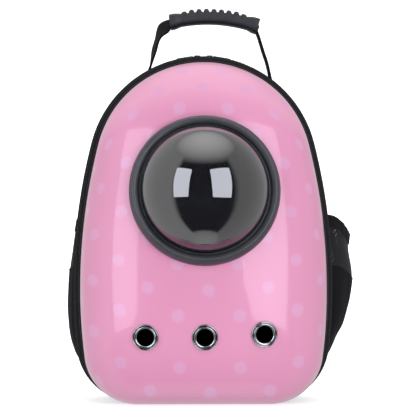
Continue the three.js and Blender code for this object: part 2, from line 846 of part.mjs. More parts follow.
// Side pockets: a bellied sheet sewn down both edges and across the bottom, open at the top
// Columns: share of the height, share of the bulge
const full_pocket_rows = [
  [0, -0.12], [0.05, 0.05], [0.19, 0.34], [0.32, 0.67], [0.67, 1.04], [0.89, 0.92], [1, 1.03],
];
const flat_pocket_rows = [[0, -0.4], [0.08, 0.45], [0.26, 0.95], [0.60, 0.75], [0.80, 0.4], [1, 0.15]];
const pocket_sides = 8;

function lookUp(rows, share) {
  const next = Math.max(1, rows.findIndex(([at]) => at >= share));
  const [a, b] = [rows[next - 1], rows[next]];
  return a[1] + ((b[1] - a[1]) * (share - a[0])) / (b[0] - a[0]);
}

function pocketSurface(side, bulge, rows) {
  const tuck = 3 * cloth_wall;
  const dip = (pocket_top_dip * bulge) / full_pocket_bulge;
  return (u, v) => {
    const belly = (1 - Math.abs(2 * u - 1) ** 3) ** (1 / 3);
    const mouth = pocket_top - dip * belly ** pocket_mouth_fullness;
    const z = pocket_bottom + v * (mouth - pocket_bottom);
    const out = -tuck + (tuck + bulge * lookUp(rows, v)) * belly;
    const y = body_front + pocket_front + pocket_width * u;
    return new THREE.Vector3(side * (halfWidthAt(z, body_proud) + out), y, z);
  };
}

// Columns: name, wall, from and to as shares of the pocket's height, rows of the mesh, finish
const pocket_parts = [
  ["base", pocket_wall, 0, 0.66, 6, black_cloth],
  ["net", pocket_net_wall, 0.665, 0.92, 3, black_net],
  ["hem", pocket_hem_wall, 0.925, 1, 1, black_cloth],
];

for (const [word, side, bulge, rows] of [
  ["left", -1, flat_pocket_bulge, flat_pocket_rows],
  ["right", 1, full_pocket_bulge, full_pocket_rows],
]) {
  const surface = pocketSurface(side, bulge, rows);
  for (const [part, wall, from, to, along, finish] of pocket_parts) {
    const sheet = thickSheet(surface, pocket_sides, along, side * wall, from, to);
    add(`pocket_${part}_${word}`, cut(sheet, bodyForm(fit_gap)), finish);
  }
}

export default carrier;
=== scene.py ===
"""Bubble pet carrier backpack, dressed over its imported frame.

Lengths are in metres. Depth runs back from the rim plane, where the shell meets the cloth.
"""

import math
import bmesh
import bpy
import numpy as np
from bpy.props import FloatProperty, FloatVectorProperty, IntProperty, PointerProperty
from mathutils import Matrix, Vector, noise


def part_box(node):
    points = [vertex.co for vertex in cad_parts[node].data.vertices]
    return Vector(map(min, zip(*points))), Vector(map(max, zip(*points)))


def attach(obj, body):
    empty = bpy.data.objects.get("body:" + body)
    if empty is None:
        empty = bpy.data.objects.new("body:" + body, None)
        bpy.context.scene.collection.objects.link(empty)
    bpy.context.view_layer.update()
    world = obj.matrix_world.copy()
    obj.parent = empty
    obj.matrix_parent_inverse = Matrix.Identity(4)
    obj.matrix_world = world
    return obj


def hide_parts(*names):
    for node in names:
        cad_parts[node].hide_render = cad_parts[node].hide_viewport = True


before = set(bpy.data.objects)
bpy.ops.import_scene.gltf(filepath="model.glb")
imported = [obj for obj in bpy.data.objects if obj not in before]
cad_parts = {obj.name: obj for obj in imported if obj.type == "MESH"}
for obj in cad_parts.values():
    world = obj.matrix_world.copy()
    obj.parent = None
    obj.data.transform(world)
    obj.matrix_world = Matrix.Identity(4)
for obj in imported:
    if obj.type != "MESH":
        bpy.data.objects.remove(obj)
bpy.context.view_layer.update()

bl_info = {
    "name": "Bubble pet carrier backpack",
    "version": (1, 0, 0),
    "blender": (4, 5, 0),
    "location": "View3D > Sidebar > Carrier",
    "description": "Builds a hard-shell pet carrier backpack with a smoked dome window",
    "category": "Add Mesh",
}

GAP = 0.0003
RIM_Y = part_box("front_shell")[1].y
LEFT, RIGHT = -1, 1
SIDES = (("left", LEFT), ("right", RIGHT))


# Sizes and colours


def length(label, meaning, value):
    return FloatProperty(name=label, description=meaning, default=value, min=0.0, unit="LENGTH", precision=5)


def angle(label, meaning, degrees):
    return FloatProperty(name=label, description=meaning, default=math.radians(degrees), subtype="ANGLE")


def colour(label, meaning, value):
    return FloatVectorProperty(name=label, description=meaning, default=value, size=3, min=0.0, max=1.0,
                               subtype="COLOR")


class ShellSizes(bpy.types.PropertyGroup):
    width: length("Width", "Widest part of the rim", 0.296)
    height: length("Height", "From the base to the crown of the rim", 0.4095)
    widest_height: length("Widest height", "Height of the widest part", 0.138)
    side_radius: length("Side radius", "Radius of the sides above the widest part", 0.700)
    lower_side_radius: length("Lower side radius", "Radius of the sides below the widest part", 0.620)
    corner_radius: length("Corner radius", "Radius of the two lower corners", 0.064)
    depth: length("Depth", "Bulge of the face in front of the rim", 0.084)
    wall: length("Wall", "Thickness of the moulded sheet", 0.002)
    lean: angle("Lean", "How far the face leans back", 5)
    fullness: FloatProperty(name="Fullness", description="How square the bulge is", default=2.7, min=2.0)
    face_centre: length("Face centre", "Height of the middle of the face", 0.190)
    pink: colour("Pink", "Colour of the sheet", (0.80, 0.333, 0.535))
    dot_colour: colour("Dots", "Colour of the polka dots", (0.79, 0.385, 0.62))
    dot_radius: length("Dot radius", "Radius of a polka dot", 0.0082)
    dot_rows: length("Dot rows", "Distance between two rows of dots", 0.03045)
    dot_columns: length("Dot columns", "Distance between two dots of a row", 0.0715)


class WindowSizes(bpy.types.PropertyGroup):
    ring_height: length("Ring height", "Height of the ring's middle", 0.255)
    ring_radius: length("Ring radius", "Outer radius of the ring", 0.0885)
    ring_width: length("Ring width", "From the outer edge to the lip", 0.014)
    ring_rise: length("Ring rise", "Height of the crest over the seat", 0.013)
    dome_radius: length("Dome radius", "Radius of the dome at its foot", 0.074)
    dome_rise: length("Dome rise", "Rise of the dome over its skirt", 0.053)
    dome_skirt: length("Dome skirt", "Height of the straight skirt", 0.019)
    dome_wall: length("Dome wall", "Thickness of the dome", 0.0025)
    flange_width: length("Flange", "Width of the flange under the ring", 0.007)
    smoke: colour("Smoke", "Tint of the dome", (0.045, 0.047, 0.062))
    black: colour("Ring black", "Colour of the moulded ring", (0.036, 0.038, 0.045))


class VentSizes(bpy.types.PropertyGroup):
    count: IntProperty(name="Vents", description="Number of vents in the row", default=3, min=1)
    pitch: length("Pitch", "Distance between two vents", 0.069)
    height: length("Height", "Height of the row", 0.0845)
    right_lift: length("Right lift", "How much higher the right vent sits", 0.0034)
    bore: length("Bore", "Inner radius of an eyelet", 0.010)
    radius: length("Radius", "Outer radius of an eyelet", 0.0155)
    rise: length("Rise", "How far an eyelet stands off the shell", 0.003)
    barrel: length("Barrel", "Wall of the barrel", 0.0016)
    chrome: colour("Chrome", "Colour of the plating", (0.52, 0.515, 0.53))


class EdgeSizes(bpy.types.PropertyGroup):
    piping_radius: length("Piping radius", "Radius of the rim piping", 0.0022)
    gusset_depth: length("Gusset depth", "Depth of the cloth strip behind the piping", 0.015)
    gusset_proud: length("Gusset stand-out", "How far the strip stands out from the rim", 0.008)
    cloth_wall: length("Cloth", "Thickness of the lined cloth", 0.0024)
    tape_depth: length("Zip tape", "Width of the zip tape", 0.011)
    tape_wall: length("Tape wall", "Thickness of the zip tape", 0.0014)
    coil_radius: length("Zip teeth", "Half the width of the row of teeth", 0.0016)


class BodySizes(bpy.types.PropertyGroup):
    proud: length("Stand-out", "How far the cloth body stands out from the rim", 0.010)
    depth: length("Depth", "Depth of the cloth body", 0.083)
    edge: length("Back edge", "Radius of the soft back edge", 0.020)
    cloth: colour("Cloth", "Colour of the black cloth", (0.0105, 0.0105, 0.0122))
    webbing: colour("Webbing", "Colour of the webbing", (0.0060, 0.0060, 0.0068))


class StrapSizes(bpy.types.PropertyGroup):
    pad_margin: length("Pad margin", "From the rim outline to the edge of the back pad", 0.060)
    pad_thickness: length("Pad thickness", "Thickness of the back pad", 0.009)
    width: length("Strap width", "Width of a shoulder strap", 0.058)
    thickness: length("Strap thickness", "Thickness of a shoulder strap", 0.009)
    bow: length("Bow", "How far a strap bows out from the back", 0.034)
    top: length("Top", "Height where a strap leaves the back", 0.380)
    bottom: length("Bottom", "Height of a strap's lower end", 0.150)
    top_spread: length("Top spread", "From the middle to a strap at its top", 0.046)
    bottom_spread: length("Bottom spread", "From the middle to a strap at its end", 0.088)
    webbing_width: length("Webbing width", "Width of the webbing", 0.025)
    webbing_thickness: length("Webbing thickness", "Thickness of the webbing", 0.0024)
    foot_height: length("Foot height", "Height where the webbing is sewn in", 0.042)
    foot_spread: length("Foot spread", "From the middle to where the webbing is sewn in", 0.100)
    adjuster_height: length("Adjuster height", "Height of a strap adjuster", 0.020)
    adjuster_width: length("Adjuster width", "Width of a strap adjuster", 0.034)
    adjuster_thickness: length("Adjuster thickness", "Thickness of a strap adjuster", 0.006)


class HandleSizes(bpy.types.PropertyGroup):
    shift: FloatProperty(name="Shift", description="How far the handle stands to the right", default=0.009,
                         unit="LENGTH", precision=5)
    span: length("Span", "Distance between the two feet", 0.150)
    rise: length("Rise", "Height of the grip over the body", 0.070)
    depth: length("Depth", "From the front of the body back to the handle", 0.030)
    webbing_thickness: length("Webbing thickness", "Thickness of the handle's webbing", 0.004)
    grip_length: length("Grip length", "Length of the grip", 0.108)
    grip_shift: length("Grip shift", "How far the grip stands right of the feet's middle", 0.005)
    grip_arch: length("Grip arch", "Rise of the grip's arch", 0.008)
    grip_tilt: angle("Grip tilt", "How far the grip's left end is up", 2.5)
    grip_height: length("Grip height", "Height of the grip's section", 0.016)
    grip_width: length("Grip width", "Width of the grip's section", 0.031)
    grip_flare: length("Grip flare", "How far the collars flare", 0.003)
    ribs: IntProperty(name="Ribs", description="Number of ribs on the grip", default=9, min=1)
    rib_pitch: length("Rib pitch", "Distance between two ribs", 0.009)
    rib_rise: length("Rib rise", "Height of a rib", 0.003)
    rubber: colour("Rubber", "Colour of the grip", (0.010, 0.0105, 0.0145))


class PocketSizes(bpy.types.PropertyGroup):
    bottom: length("Bottom", "Height of a pocket's lower edge", 0.045)
    top: length("Top", "Height of a pocket's mouth at its ends", 0.227)
    dip: length("Dip", "How far the mouth dips in its middle", 0.025)
    mouth_fullness: FloatProperty(name="Mouth fullness", description="How late the mouth dips", default=3.0)
    front: length("Front", "From the front of the body to a pocket", 0.009)
    width: length("Width", "Width of a pocket", 0.066)
    full_bulge: length("Full bulge", "How far the full pocket stands out", 0.026)
    flat_bulge: length("Flat bulge", "How far the flat pocket stands out", 0.008)
    wall: length("Cloth", "Thickness of the pocket's cloth", 0.0018)
    net_wall: length("Net", "Thickness of the net", 0.0009)
    hem_wall: length("Hem", "Thickness of the elastic hem", 0.003)
    net_pitch: length("Net pitch", "Distance between two holes of the net", 0.0038)


class StageSizes(bpy.types.PropertyGroup):
    distance: length("Camera distance", "From the camera to the rim plane", 2.6)
    field: length("Field", "Width that the camera sees at the rim plane", 0.4992)
    aim_x: FloatProperty(name="Aim across", description="Where the camera looks, across", default=0.0054)
    aim_z: length("Aim height", "Where the camera looks, in height", 0.2346)
    yaw: angle("Yaw", "How far the camera stands to the left", 1.3)
    floor: colour("Floor", "Colour of the pale floor", (0.92, 0.92, 0.92))


class CarrierSizes(bpy.types.PropertyGroup):
    shell: PointerProperty(type=ShellSizes)
    window: PointerProperty(type=WindowSizes)
    vents: PointerProperty(type=VentSizes)
    edge: PointerProperty(type=EdgeSizes)
    body: PointerProperty(type=BodySizes)
    straps: PointerProperty(type=StrapSizes)
    handle: PointerProperty(type=HandleSizes)
    pockets: PointerProperty(type=PocketSizes)
    stage: PointerProperty(type=StageSizes)


def carrier():
    return bpy.context.scene.carrier_sizes


# Mesh parts. A part is (points, faces, uvs), with one uv for each corner of each face.


def grid(rows, closed=False, ring=False):
    """Skin over rows of points. closed joins the ends of each row, ring joins the last row to the first."""
    rows = np.asarray(rows, float)
    count, across = rows.shape[:2]
    shut = np.concatenate([rows, rows[:, :1]], 1) if closed else rows
    shut = np.concatenate([shut, shut[:1]], 0) if ring else shut
    steps_u = np.linalg.norm(np.diff(shut, axis=1), axis=2)
    steps_v = np.linalg.norm(np.diff(shut, axis=0), axis=2)
    u = np.concatenate([[0], np.cumsum(steps_u.max(0))])
    v = np.concatenate([[0], np.cumsum(steps_v.mean(1))])
    faces = []
    uvs = []
    for j in range(shut.shape[0] - 1):
        above = (j + 1) % count
        for i in range(shut.shape[1] - 1):
            beside = (i + 1) % across
            faces.append((j * across + i, j * across + beside, above * across + beside, above * across + i))
            uvs.extend(((u[i], v[j]), (u[i + 1], v[j]), (u[i + 1], v[j + 1]), (u[i], v[j + 1])))
    return rows.reshape(-1, 3), faces, uvs


def fan(loop, centre):
    """Closes a loop with a point in its middle."""
    loop = np.asarray(loop, float)
    points = np.concatenate([loop, [centre]])
    last = len(loop)
    faces = [(i, (i + 1) % last, last) for i in range(last)]
    uvs = [(points[k][0], points[k][2]) for face in faces for k in face]
    return points, faces, uvs


def merged(*parts):
    points, faces, uvs = [], [], []
    start = 0
    for part_points, part_faces, part_uvs in parts:
        points.append(part_points)
        faces.extend(tuple(start + k for k in face) for face in part_faces)
        uvs.extend(part_uvs)
        start += len(part_points)
    return np.concatenate(points), faces, uvs


def tube(rows):
    """A closed body from loops, with both ends shut."""
    rows = np.asarray(rows, float)
    return merged(grid(rows, closed=True), fan(rows[0], rows[0].mean(0)), fan(rows[-1], rows[-1].mean(0)))


def block(low, high, nip):
    """A block with nipped edges, for teeth, lugs and small fittings."""
    low, high = np.asarray(low, float), np.asarray(high, float)
    rows = []
    for z, inset in ((low[2], nip), (low[2] + nip, 0), (high[2] - nip, 0), (high[2], nip)):
        x0, x1, y0, y1 = low[0] + inset, high[0] - inset, low[1] + inset, high[1] - inset
        n = nip if inset == 0 else nip / 2
        rows.append([(x0 + n, y0, z), (x1 - n, y0, z), (x1, y0 + n, z), (x1, y1 - n, z),
                     (x1 - n, y1, z), (x0 + n, y1, z), (x0, y1 - n, z), (x0, y0 + n, z)])
    return tube(rows)


def placed(part, matrix):
    points, faces, uvs = part
    turn = np.array(matrix.to_3x3())
    return points @ turn.T + np.array(matrix.translation), faces, uvs


def to_row(points):
    """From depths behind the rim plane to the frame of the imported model."""
    return np.asarray(points, float) + np.array([0.0, RIM_Y, 0.0])


def piece(name, part, finish, replaces=(), sharp=40.0, in_row=False):
    points, faces, uvs = part
    points = np.asarray(points, float) if in_row else to_row(points)
    mesh = bpy.data.meshes.new(name)
    mesh.from_pydata([tuple(p) for p in points], [], faces)
    layer = mesh.uv_layers.new(name="cloth")
    layer.data.foreach_set("uv", np.asarray(uvs, np.float32).ravel())
    tidy = bmesh.new()
    tidy.from_mesh(mesh)
    bmesh.ops.remove_doubles(tidy, verts=tidy.verts, dist=1e-6)
    bmesh.ops.recalc_face_normals(tidy, faces=tidy.faces)
    tidy.to_mesh(mesh)
    tidy.free()
    mesh.shade_smooth()
    mesh.set_sharp_from_angle(angle=math.radians(sharp))
    obj = bpy.data.objects.new(name, mesh)
    bpy.context.scene.collection.objects.link(obj)
    obj.data.materials.append(finish)
    if replaces:
        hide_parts(*replaces)
    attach(obj, "root")
    return obj


def applied(obj):
    """Bakes the piece's modifiers into its mesh."""
    graph = bpy.context.evaluated_depsgraph_get()
    mesh = bpy.data.meshes.new_from_object(obj.evaluated_get(graph))
    mesh.name = obj.data.name + "_made"
    obj.modifiers.clear()
    obj.data = mesh
    return obj


# Outline of the rim, and the bulging face


def arc(cx, cz, radius, start, end, steps):
    turns = start + (end - start) * (np.arange(steps) + 1) / steps
    return np.column_stack([cx + radius * np.cos(turns), cz + radius * np.sin(turns)])


def outline(grow=0.0, inset=0.0, fine=6):
    """Loop of (x, z) round the rim from the crown clockwise, grown above the floor and drawn in."""
    shell = carrier().shell
    off = grow - inset
    half = shell.width / 2 + off
    top = shell.height + off
    side = shell.side_radius + off
    lower = shell.lower_side_radius + off
    corner = shell.corner_radius + off
    rise = top - shell.widest_height
    crown = (2 * side * half - half**2 - rise**2) / (2 * (side - rise))
    shoulder = math.atan2(rise - crown, side - half)
    corner_z = inset + corner
    reach = (lower - corner) ** 2 - (shell.widest_height - corner_z) ** 2
    corner_x = half - lower + math.sqrt(reach)
    haunch = math.atan2(corner_z - shell.widest_height, corner_x - half + lower)
    base = np.linspace(corner_x, 0, 3 * fine + 1)[1:]
    right = np.concatenate([
        [[0, top]],
        arc(0, top - crown, crown, math.pi / 2, shoulder, 8 * fine),
        arc(half - side, shell.widest_height, side, shoulder, 0, 4 * fine),
        arc(half - lower, shell.widest_height, lower, 0, haunch, 3 * fine),
        arc(corner_x, corner_z, corner, haunch, -math.pi / 2, 5 * fine),
        np.column_stack([base, np.full(len(base), inset)]),
    ])
    left = right[1:-1][::-1] * (-1, 1)
    return np.concatenate([right, left])


def loop_at(depth, grow, inset=0.0, fine=6):
    line = outline(grow, inset, fine)
    return np.column_stack([line[:, 0], np.full(len(line), depth), line[:, 1]])


def band(grow, section, fine=6):
    """A band round the outline from a closed row of (depth, inset)."""
    return grid([loop_at(depth, grow, inset, fine) for depth, inset in section], closed=True, ring=True)


def half_width(height, grow):
    line = outline(grow, 0.0, 12)
    right = line[: len(line) // 2 + 1]
    keep = np.concatenate([[True], np.diff(right[:, 1]) < -1e-9])
    right = right[keep][::-1]
    return np.interp(height, right[:, 1], right[:, 0])


def crown_height(across, grow):
    line = outline(grow, 0.0, 12)
    right = line[: len(line) // 2 + 1]
    keep = np.concatenate([[True], np.diff(right[:, 0]) > 1e-9])
    stop = len(keep) if keep.all() else int(np.argmin(keep))
    return np.interp(abs(across), right[:stop, 0], right[:stop, 1])


def face_plane_depth(z):
    shell = carrier().shell
    return shell.depth + math.tan(shell.lean) * (shell.face_centre - z)


def face_y(x, z):
    """Depth of the shell's face in front of the rim plane, as a negative number."""
    shell = carrier().shell
    line = outline(0.0, 0.0, 12)
    turns = np.arctan2(line[:, 0], line[:, 1] - shell.face_centre)
    order = np.argsort(turns)
    turns, reaches = turns[order], np.hypot(line[:, 0], line[:, 1] - shell.face_centre)[order]
    turns = np.concatenate([turns - 2 * math.pi, turns, turns + 2 * math.pi])
    reaches = np.tile(reaches, 3)
    x, z = np.asarray(x, float), np.asarray(z, float)
    rim = np.interp(np.arctan2(x, z - shell.face_centre), turns, reaches)
    share = np.clip(np.hypot(x, z - shell.face_centre) / rim, 0, 1)
    return -face_plane_depth(z) * (1 - share**shell.fullness) ** (1 / shell.fullness)


def face_normal(x, z):
    step = 0.002
    across = Vector((2 * step, face_y(x + step, z) - face_y(x - step, z), 0))
    up = Vector((0, face_y(x, z + step) - face_y(x, z - step), 2 * step))
    return across.cross(up).normalized()


def seat(origin, axis):
    """A place whose +Y axis points out of the face."""
    turn = Vector((0, 1, 0)).rotation_difference(axis)
    return Matrix.Translation(origin) @ turn.to_matrix().to_4x4()


def window_seat():
    window = carrier().window
    top, bottom = (
        Vector((0, float(face_y(0, z)), z))
        for z in (window.ring_height + window.ring_radius, window.ring_height - window.ring_radius)
    )
    axis = Vector((1, 0, 0)).cross((top - bottom).normalized()).normalized()
    return seat((top + bottom) / 2, axis)


def vent_seats():
    vents = carrier().vents
    seats = []
    for i in range(vents.count):
        x = (i - (vents.count - 1) / 2) * vents.pitch
        z = vents.height + (vents.right_lift if i == vents.count - 1 else 0.0)
        seats.append(seat(Vector((x, float(face_y(x, z)), z)), face_normal(x, z)))
    return seats


def turned(profile, steps, place):
    """Turns a closed row of (radius, height) round the seat's axis."""
    turns = np.arange(steps) * 2 * math.pi / steps
    rows = [np.column_stack([r * np.cos(turns), np.full(steps, h), r * np.sin(turns)]) for r, h in profile]
    return placed(grid(rows, closed=True, ring=True), place)


def smooth_line(points, steps):
    """A soft curve through the points, by arc length."""
    points = np.asarray(points, float)
    padded = np.concatenate([[2 * points[0] - points[1]], points, [2 * points[-1] - points[-2]]])
    fine = []
    for k in range(len(points) - 1):
        p0, p1, p2, p3 = padded[k:k + 4]
        t0 = 0.0
        t1 = t0 + max(np.linalg.norm(p1 - p0), 1e-9) ** 0.5
        t2 = t1 + max(np.linalg.norm(p2 - p1), 1e-9) ** 0.5
        t3 = t2 + max(np.linalg.norm(p3 - p2), 1e-9) ** 0.5
        for t in np.linspace(t1, t2, 24, endpoint=k == len(points) - 2):
            a1 = (t1 - t) / (t1 - t0) * p0 + (t - t0) / (t1 - t0) * p1
            a2 = (t2 - t) / (t2 - t1) * p1 + (t - t1) / (t2 - t1) * p2
            a3 = (t3 - t) / (t3 - t2) * p2 + (t - t2) / (t3 - t2) * p3
            b1 = (t2 - t) / (t2 - t0) * a1 + (t - t0) / (t2 - t0) * a2
            b2 = (t3 - t) / (t3 - t1) * a2 + (t - t1) / (t3 - t1) * a3
            fine.append((t2 - t) / (t2 - t1) * b1 + (t - t1) / (t2 - t1) * b2)
    fine = np.array(fine)
    walk = np.concatenate([[0], np.cumsum(np.linalg.norm(np.diff(fine, axis=0), axis=1))])
    even = np.linspace(0, walk[-1], steps + 1)
    return np.column_stack([np.interp(even, walk, fine[:, k]) for k in range(points.shape[1])])


def look_up(rows, share):
    rows = np.asarray(rows, float)
    return np.interp(share, rows[:, 0], rows[:, 1])


# Finishes


def new_finish(name):
    finish = bpy.data.materials.new(name)
    finish.use_nodes = True
    tree = finish.node_tree
    shader = tree.nodes["Principled BSDF"]
    return finish, tree, shader


def node(tree, kind, label="", **values):
    made = tree.nodes.new(kind)
    made.label = label
    for key, value in values.items():
        if key in made.inputs:
            made.inputs[key].default_value = value
        else:
            setattr(made, key, value)
    return made


def maths(tree, operation, a, b=None, c=None):
    made = tree.nodes.new("ShaderNodeMath")
    made.operation = operation
    for socket, value in zip(made.inputs, (a, b, c)):
        if value is None:
            continue
        if isinstance(value, (int, float)):
            socket.default_value = value
        else:
            tree.links.new(value, socket)
    return made.outputs[0]


def ramp(tree, value, stops):
    made = tree.nodes.new("ShaderNodeValToRGB")
    tree.links.new(value, made.inputs["Fac"])
    bar = made.color_ramp
    while len(bar.elements) < len(stops):
        bar.elements.new(1.0)
    for element, (place, shade) in zip(bar.elements, stops):
        element.position = place
        element.color = (*shade, 1.0) if hasattr(shade, "__len__") else (shade, shade, shade, 1.0)
    return made.outputs["Color"]


def blended(tree, share, first, second):
    made = tree.nodes.new("ShaderNodeMix")
    made.data_type = "RGBA"
    sockets = [s for s in made.inputs if s.type == "RGBA"]
    for socket, value in ((made.inputs[0], share), (sockets[0], first), (sockets[1], second)):
        if hasattr(value, "is_linked"):
            tree.links.new(value, socket)
        elif isinstance(value, (int, float)):
            socket.default_value = value
        else:
            socket.default_value = (*value, 1.0)
    return [s for s in made.outputs if s.type == "RGBA"][0]


def bumped(tree, shader, height, distance, strength=1.0, socket="Normal"):
    made = node(tree, "ShaderNodeBump", Strength=strength, Distance=distance)
    tree.links.new(height, made.inputs["Height"])
    tree.links.new(made.outputs["Normal"], shader.inputs[socket])
    return made


def places(tree):
    """Object coordinates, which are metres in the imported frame."""
    return tree.nodes.new("ShaderNodeTexCoord").outputs["Object"]


def grain(tree, vector, scale, detail=4.0, roughness=0.5):
    made = node(tree, "ShaderNodeTexNoise", Scale=scale, Detail=detail, Roughness=roughness)
    tree.links.new(vector, made.inputs["Vector"])
    return made.outputs["Fac"]


def weave_height(tree, pitch_u, pitch_v):
    """Height of a plain weave over the cloth's own coordinates."""
    uv = tree.nodes.new("ShaderNodeUVMap")
    uv.uv_map = "cloth"
    split = tree.nodes.new("ShaderNodeSeparateXYZ")
    tree.links.new(uv.outputs["UV"], split.inputs[0])
    u = maths(tree, "MULTIPLY", split.outputs["X"], math.pi / pitch_u)
    v = maths(tree, "MULTIPLY", split.outputs["Y"], math.pi / pitch_v)
    warp = maths(tree, "ABSOLUTE", maths(tree, "SINE", u))
    weft = maths(tree, "ABSOLUTE", maths(tree, "SINE", v))
    over = maths(tree, "SINE", maths(tree, "ADD", u, math.pi / 2))
    under = maths(tree, "SINE", maths(tree, "ADD", v, math.pi / 2))
    turn = maths(tree, "MULTIPLY_ADD", maths(tree, "SIGN", maths(tree, "MULTIPLY", over, under)), 0.5, 0.5)
    first = maths(tree, "MULTIPLY", warp, turn)
    second = maths(tree, "MULTIPLY", weft, maths(tree, "SUBTRACT", 1.0, turn))
    return maths(tree, "ADD", first, second)


def cloth_finish(name, shade, pitch_u, pitch_v, depth, sheen=0.03, rough=0.86, worn=1.7):
    finish, tree, shader = new_finish(name)
    where = places(tree)
    height = weave_height(tree, pitch_u, pitch_v)
    patches = grain(tree, where, 22.0, 5.0, 0.6)
    fuzz = grain(tree, where, 900.0, 3.0, 0.7)
    light = tuple(min(1.0, worn * c) for c in shade)
    dark = tuple(0.55 * c for c in shade)
    even = blended(tree, patches, tuple(0.85 * c for c in shade), light)
    threads = blended(tree, maths(tree, "MULTIPLY_ADD", height, 0.6, 0.35), dark, even)
    tree.links.new(threads, shader.inputs["Base Color"])
    shader.inputs["Roughness"].default_value = rough
    shader.inputs["Specular IOR Level"].default_value = 0.12
    shader.inputs["Sheen Weight"].default_value = sheen
    shader.inputs["Sheen Roughness"].default_value = 0.45
    total = maths(tree, "ADD", height, maths(tree, "MULTIPLY", fuzz, 0.5))
    bumped(tree, shader, total, depth)
    return finish


def soft_cloth_finish(name, shade, thread, depth, worn=1.6):
    """Cloth for a swollen pad, whose threads follow the object and need no flat coordinates."""
    finish, tree, shader = new_finish(name)
    where = places(tree)
    split = tree.nodes.new("ShaderNodeSeparateXYZ")
    tree.links.new(where, split.inputs[0])
    rate = math.pi / thread
    across = maths(tree, "SINE", maths(tree, "MULTIPLY", split.outputs["X"], rate))
    along = maths(tree, "SINE", maths(tree, "MULTIPLY", split.outputs["Z"], rate))
    height = maths(tree, "MULTIPLY_ADD", maths(tree, "MULTIPLY", across, along), 0.5, 0.5)
    patches = grain(tree, where, 26.0, 5.0, 0.6)
    fuzz = grain(tree, where, 900.0, 3.0, 0.7)
    light = tuple(min(1.0, worn * c) for c in shade)
    even = blended(tree, patches, tuple(0.8 * c for c in shade), light)
    threads = blended(tree, maths(tree, "MULTIPLY_ADD", height, 0.5, 0.45), tuple(0.6 * c for c in shade), even)
    tree.links.new(threads, shader.inputs["Base Color"])
    shader.inputs["Roughness"].default_value = 0.88
    shader.inputs["Specular IOR Level"].default_value = 0.12
    shader.inputs["Sheen Weight"].default_value = 0.04
    shader.inputs["Sheen Roughness"].default_value = 0.45
    total = maths(tree, "ADD", height, maths(tree, "MULTIPLY", fuzz, 0.5))
    bumped(tree, shader, total, depth)
    return finish


def moulded_finish(name, shade, rough, texture, worn=1.5, coat=0.0):
    """Moulded plastic or rubber: a fine grain, faint scuffs and uneven gloss."""
    finish, tree, shader = new_finish(name)
    where = places(tree)
    cloud = grain(tree, where, 30.0, 6.0, 0.6)
    fine = grain(tree, where, 1400.0, 2.0, 0.5)
    light = tuple(min(1.0, worn * c) for c in shade)
    tree.links.new(blended(tree, cloud, tuple(0.8 * c for c in shade), light), shader.inputs["Base Color"])
    gloss = ramp(tree, cloud, [(0.3, max(rough - 0.07, 0.02)), (0.7, min(rough + 0.09, 1.0))])
    tree.links.new(gloss, shader.inputs["Roughness"])
    shader.inputs["Coat Weight"].default_value = coat
    shader.inputs["Coat Roughness"].default_value = 0.2
    bumped(tree, shader, fine, texture)
    return finish


def drawn_over_rim(tree, place):
    """Width and height along the sheet, which runs on backward over the shell's steep edge"""
    x, y, z = place["X"], place["Y"], place["Z"]
    back = maths(tree, "MAXIMUM", maths(tree, "SUBTRACT", y, RIM_Y - 0.05), 0.0)
    above = maths(tree, "DIVIDE", maths(tree, "MAXIMUM", maths(tree, "SUBTRACT", z, 0.25), 0.0), 0.15)
    below = maths(tree, "DIVIDE", maths(tree, "MINIMUM", maths(tree, "SUBTRACT", z, 0.06), 0.0), 0.06)
    up = maths(tree, "ADD", above, below)
    out = maths(tree, "DIVIDE", x, 0.148)
    size = maths(tree, "ADD", maths(tree, "MULTIPLY", up, up), maths(tree, "MULTIPLY", out, out))
    run = maths(tree, "DIVIDE", maths(tree, "MULTIPLY", back, 0.85), maths(tree, "SQRT", size))
    wide = maths(tree, "ADD", x, maths(tree, "MULTIPLY", out, run))
    return wide, maths(tree, "ADD", z, maths(tree, "MULTIPLY", up, run))


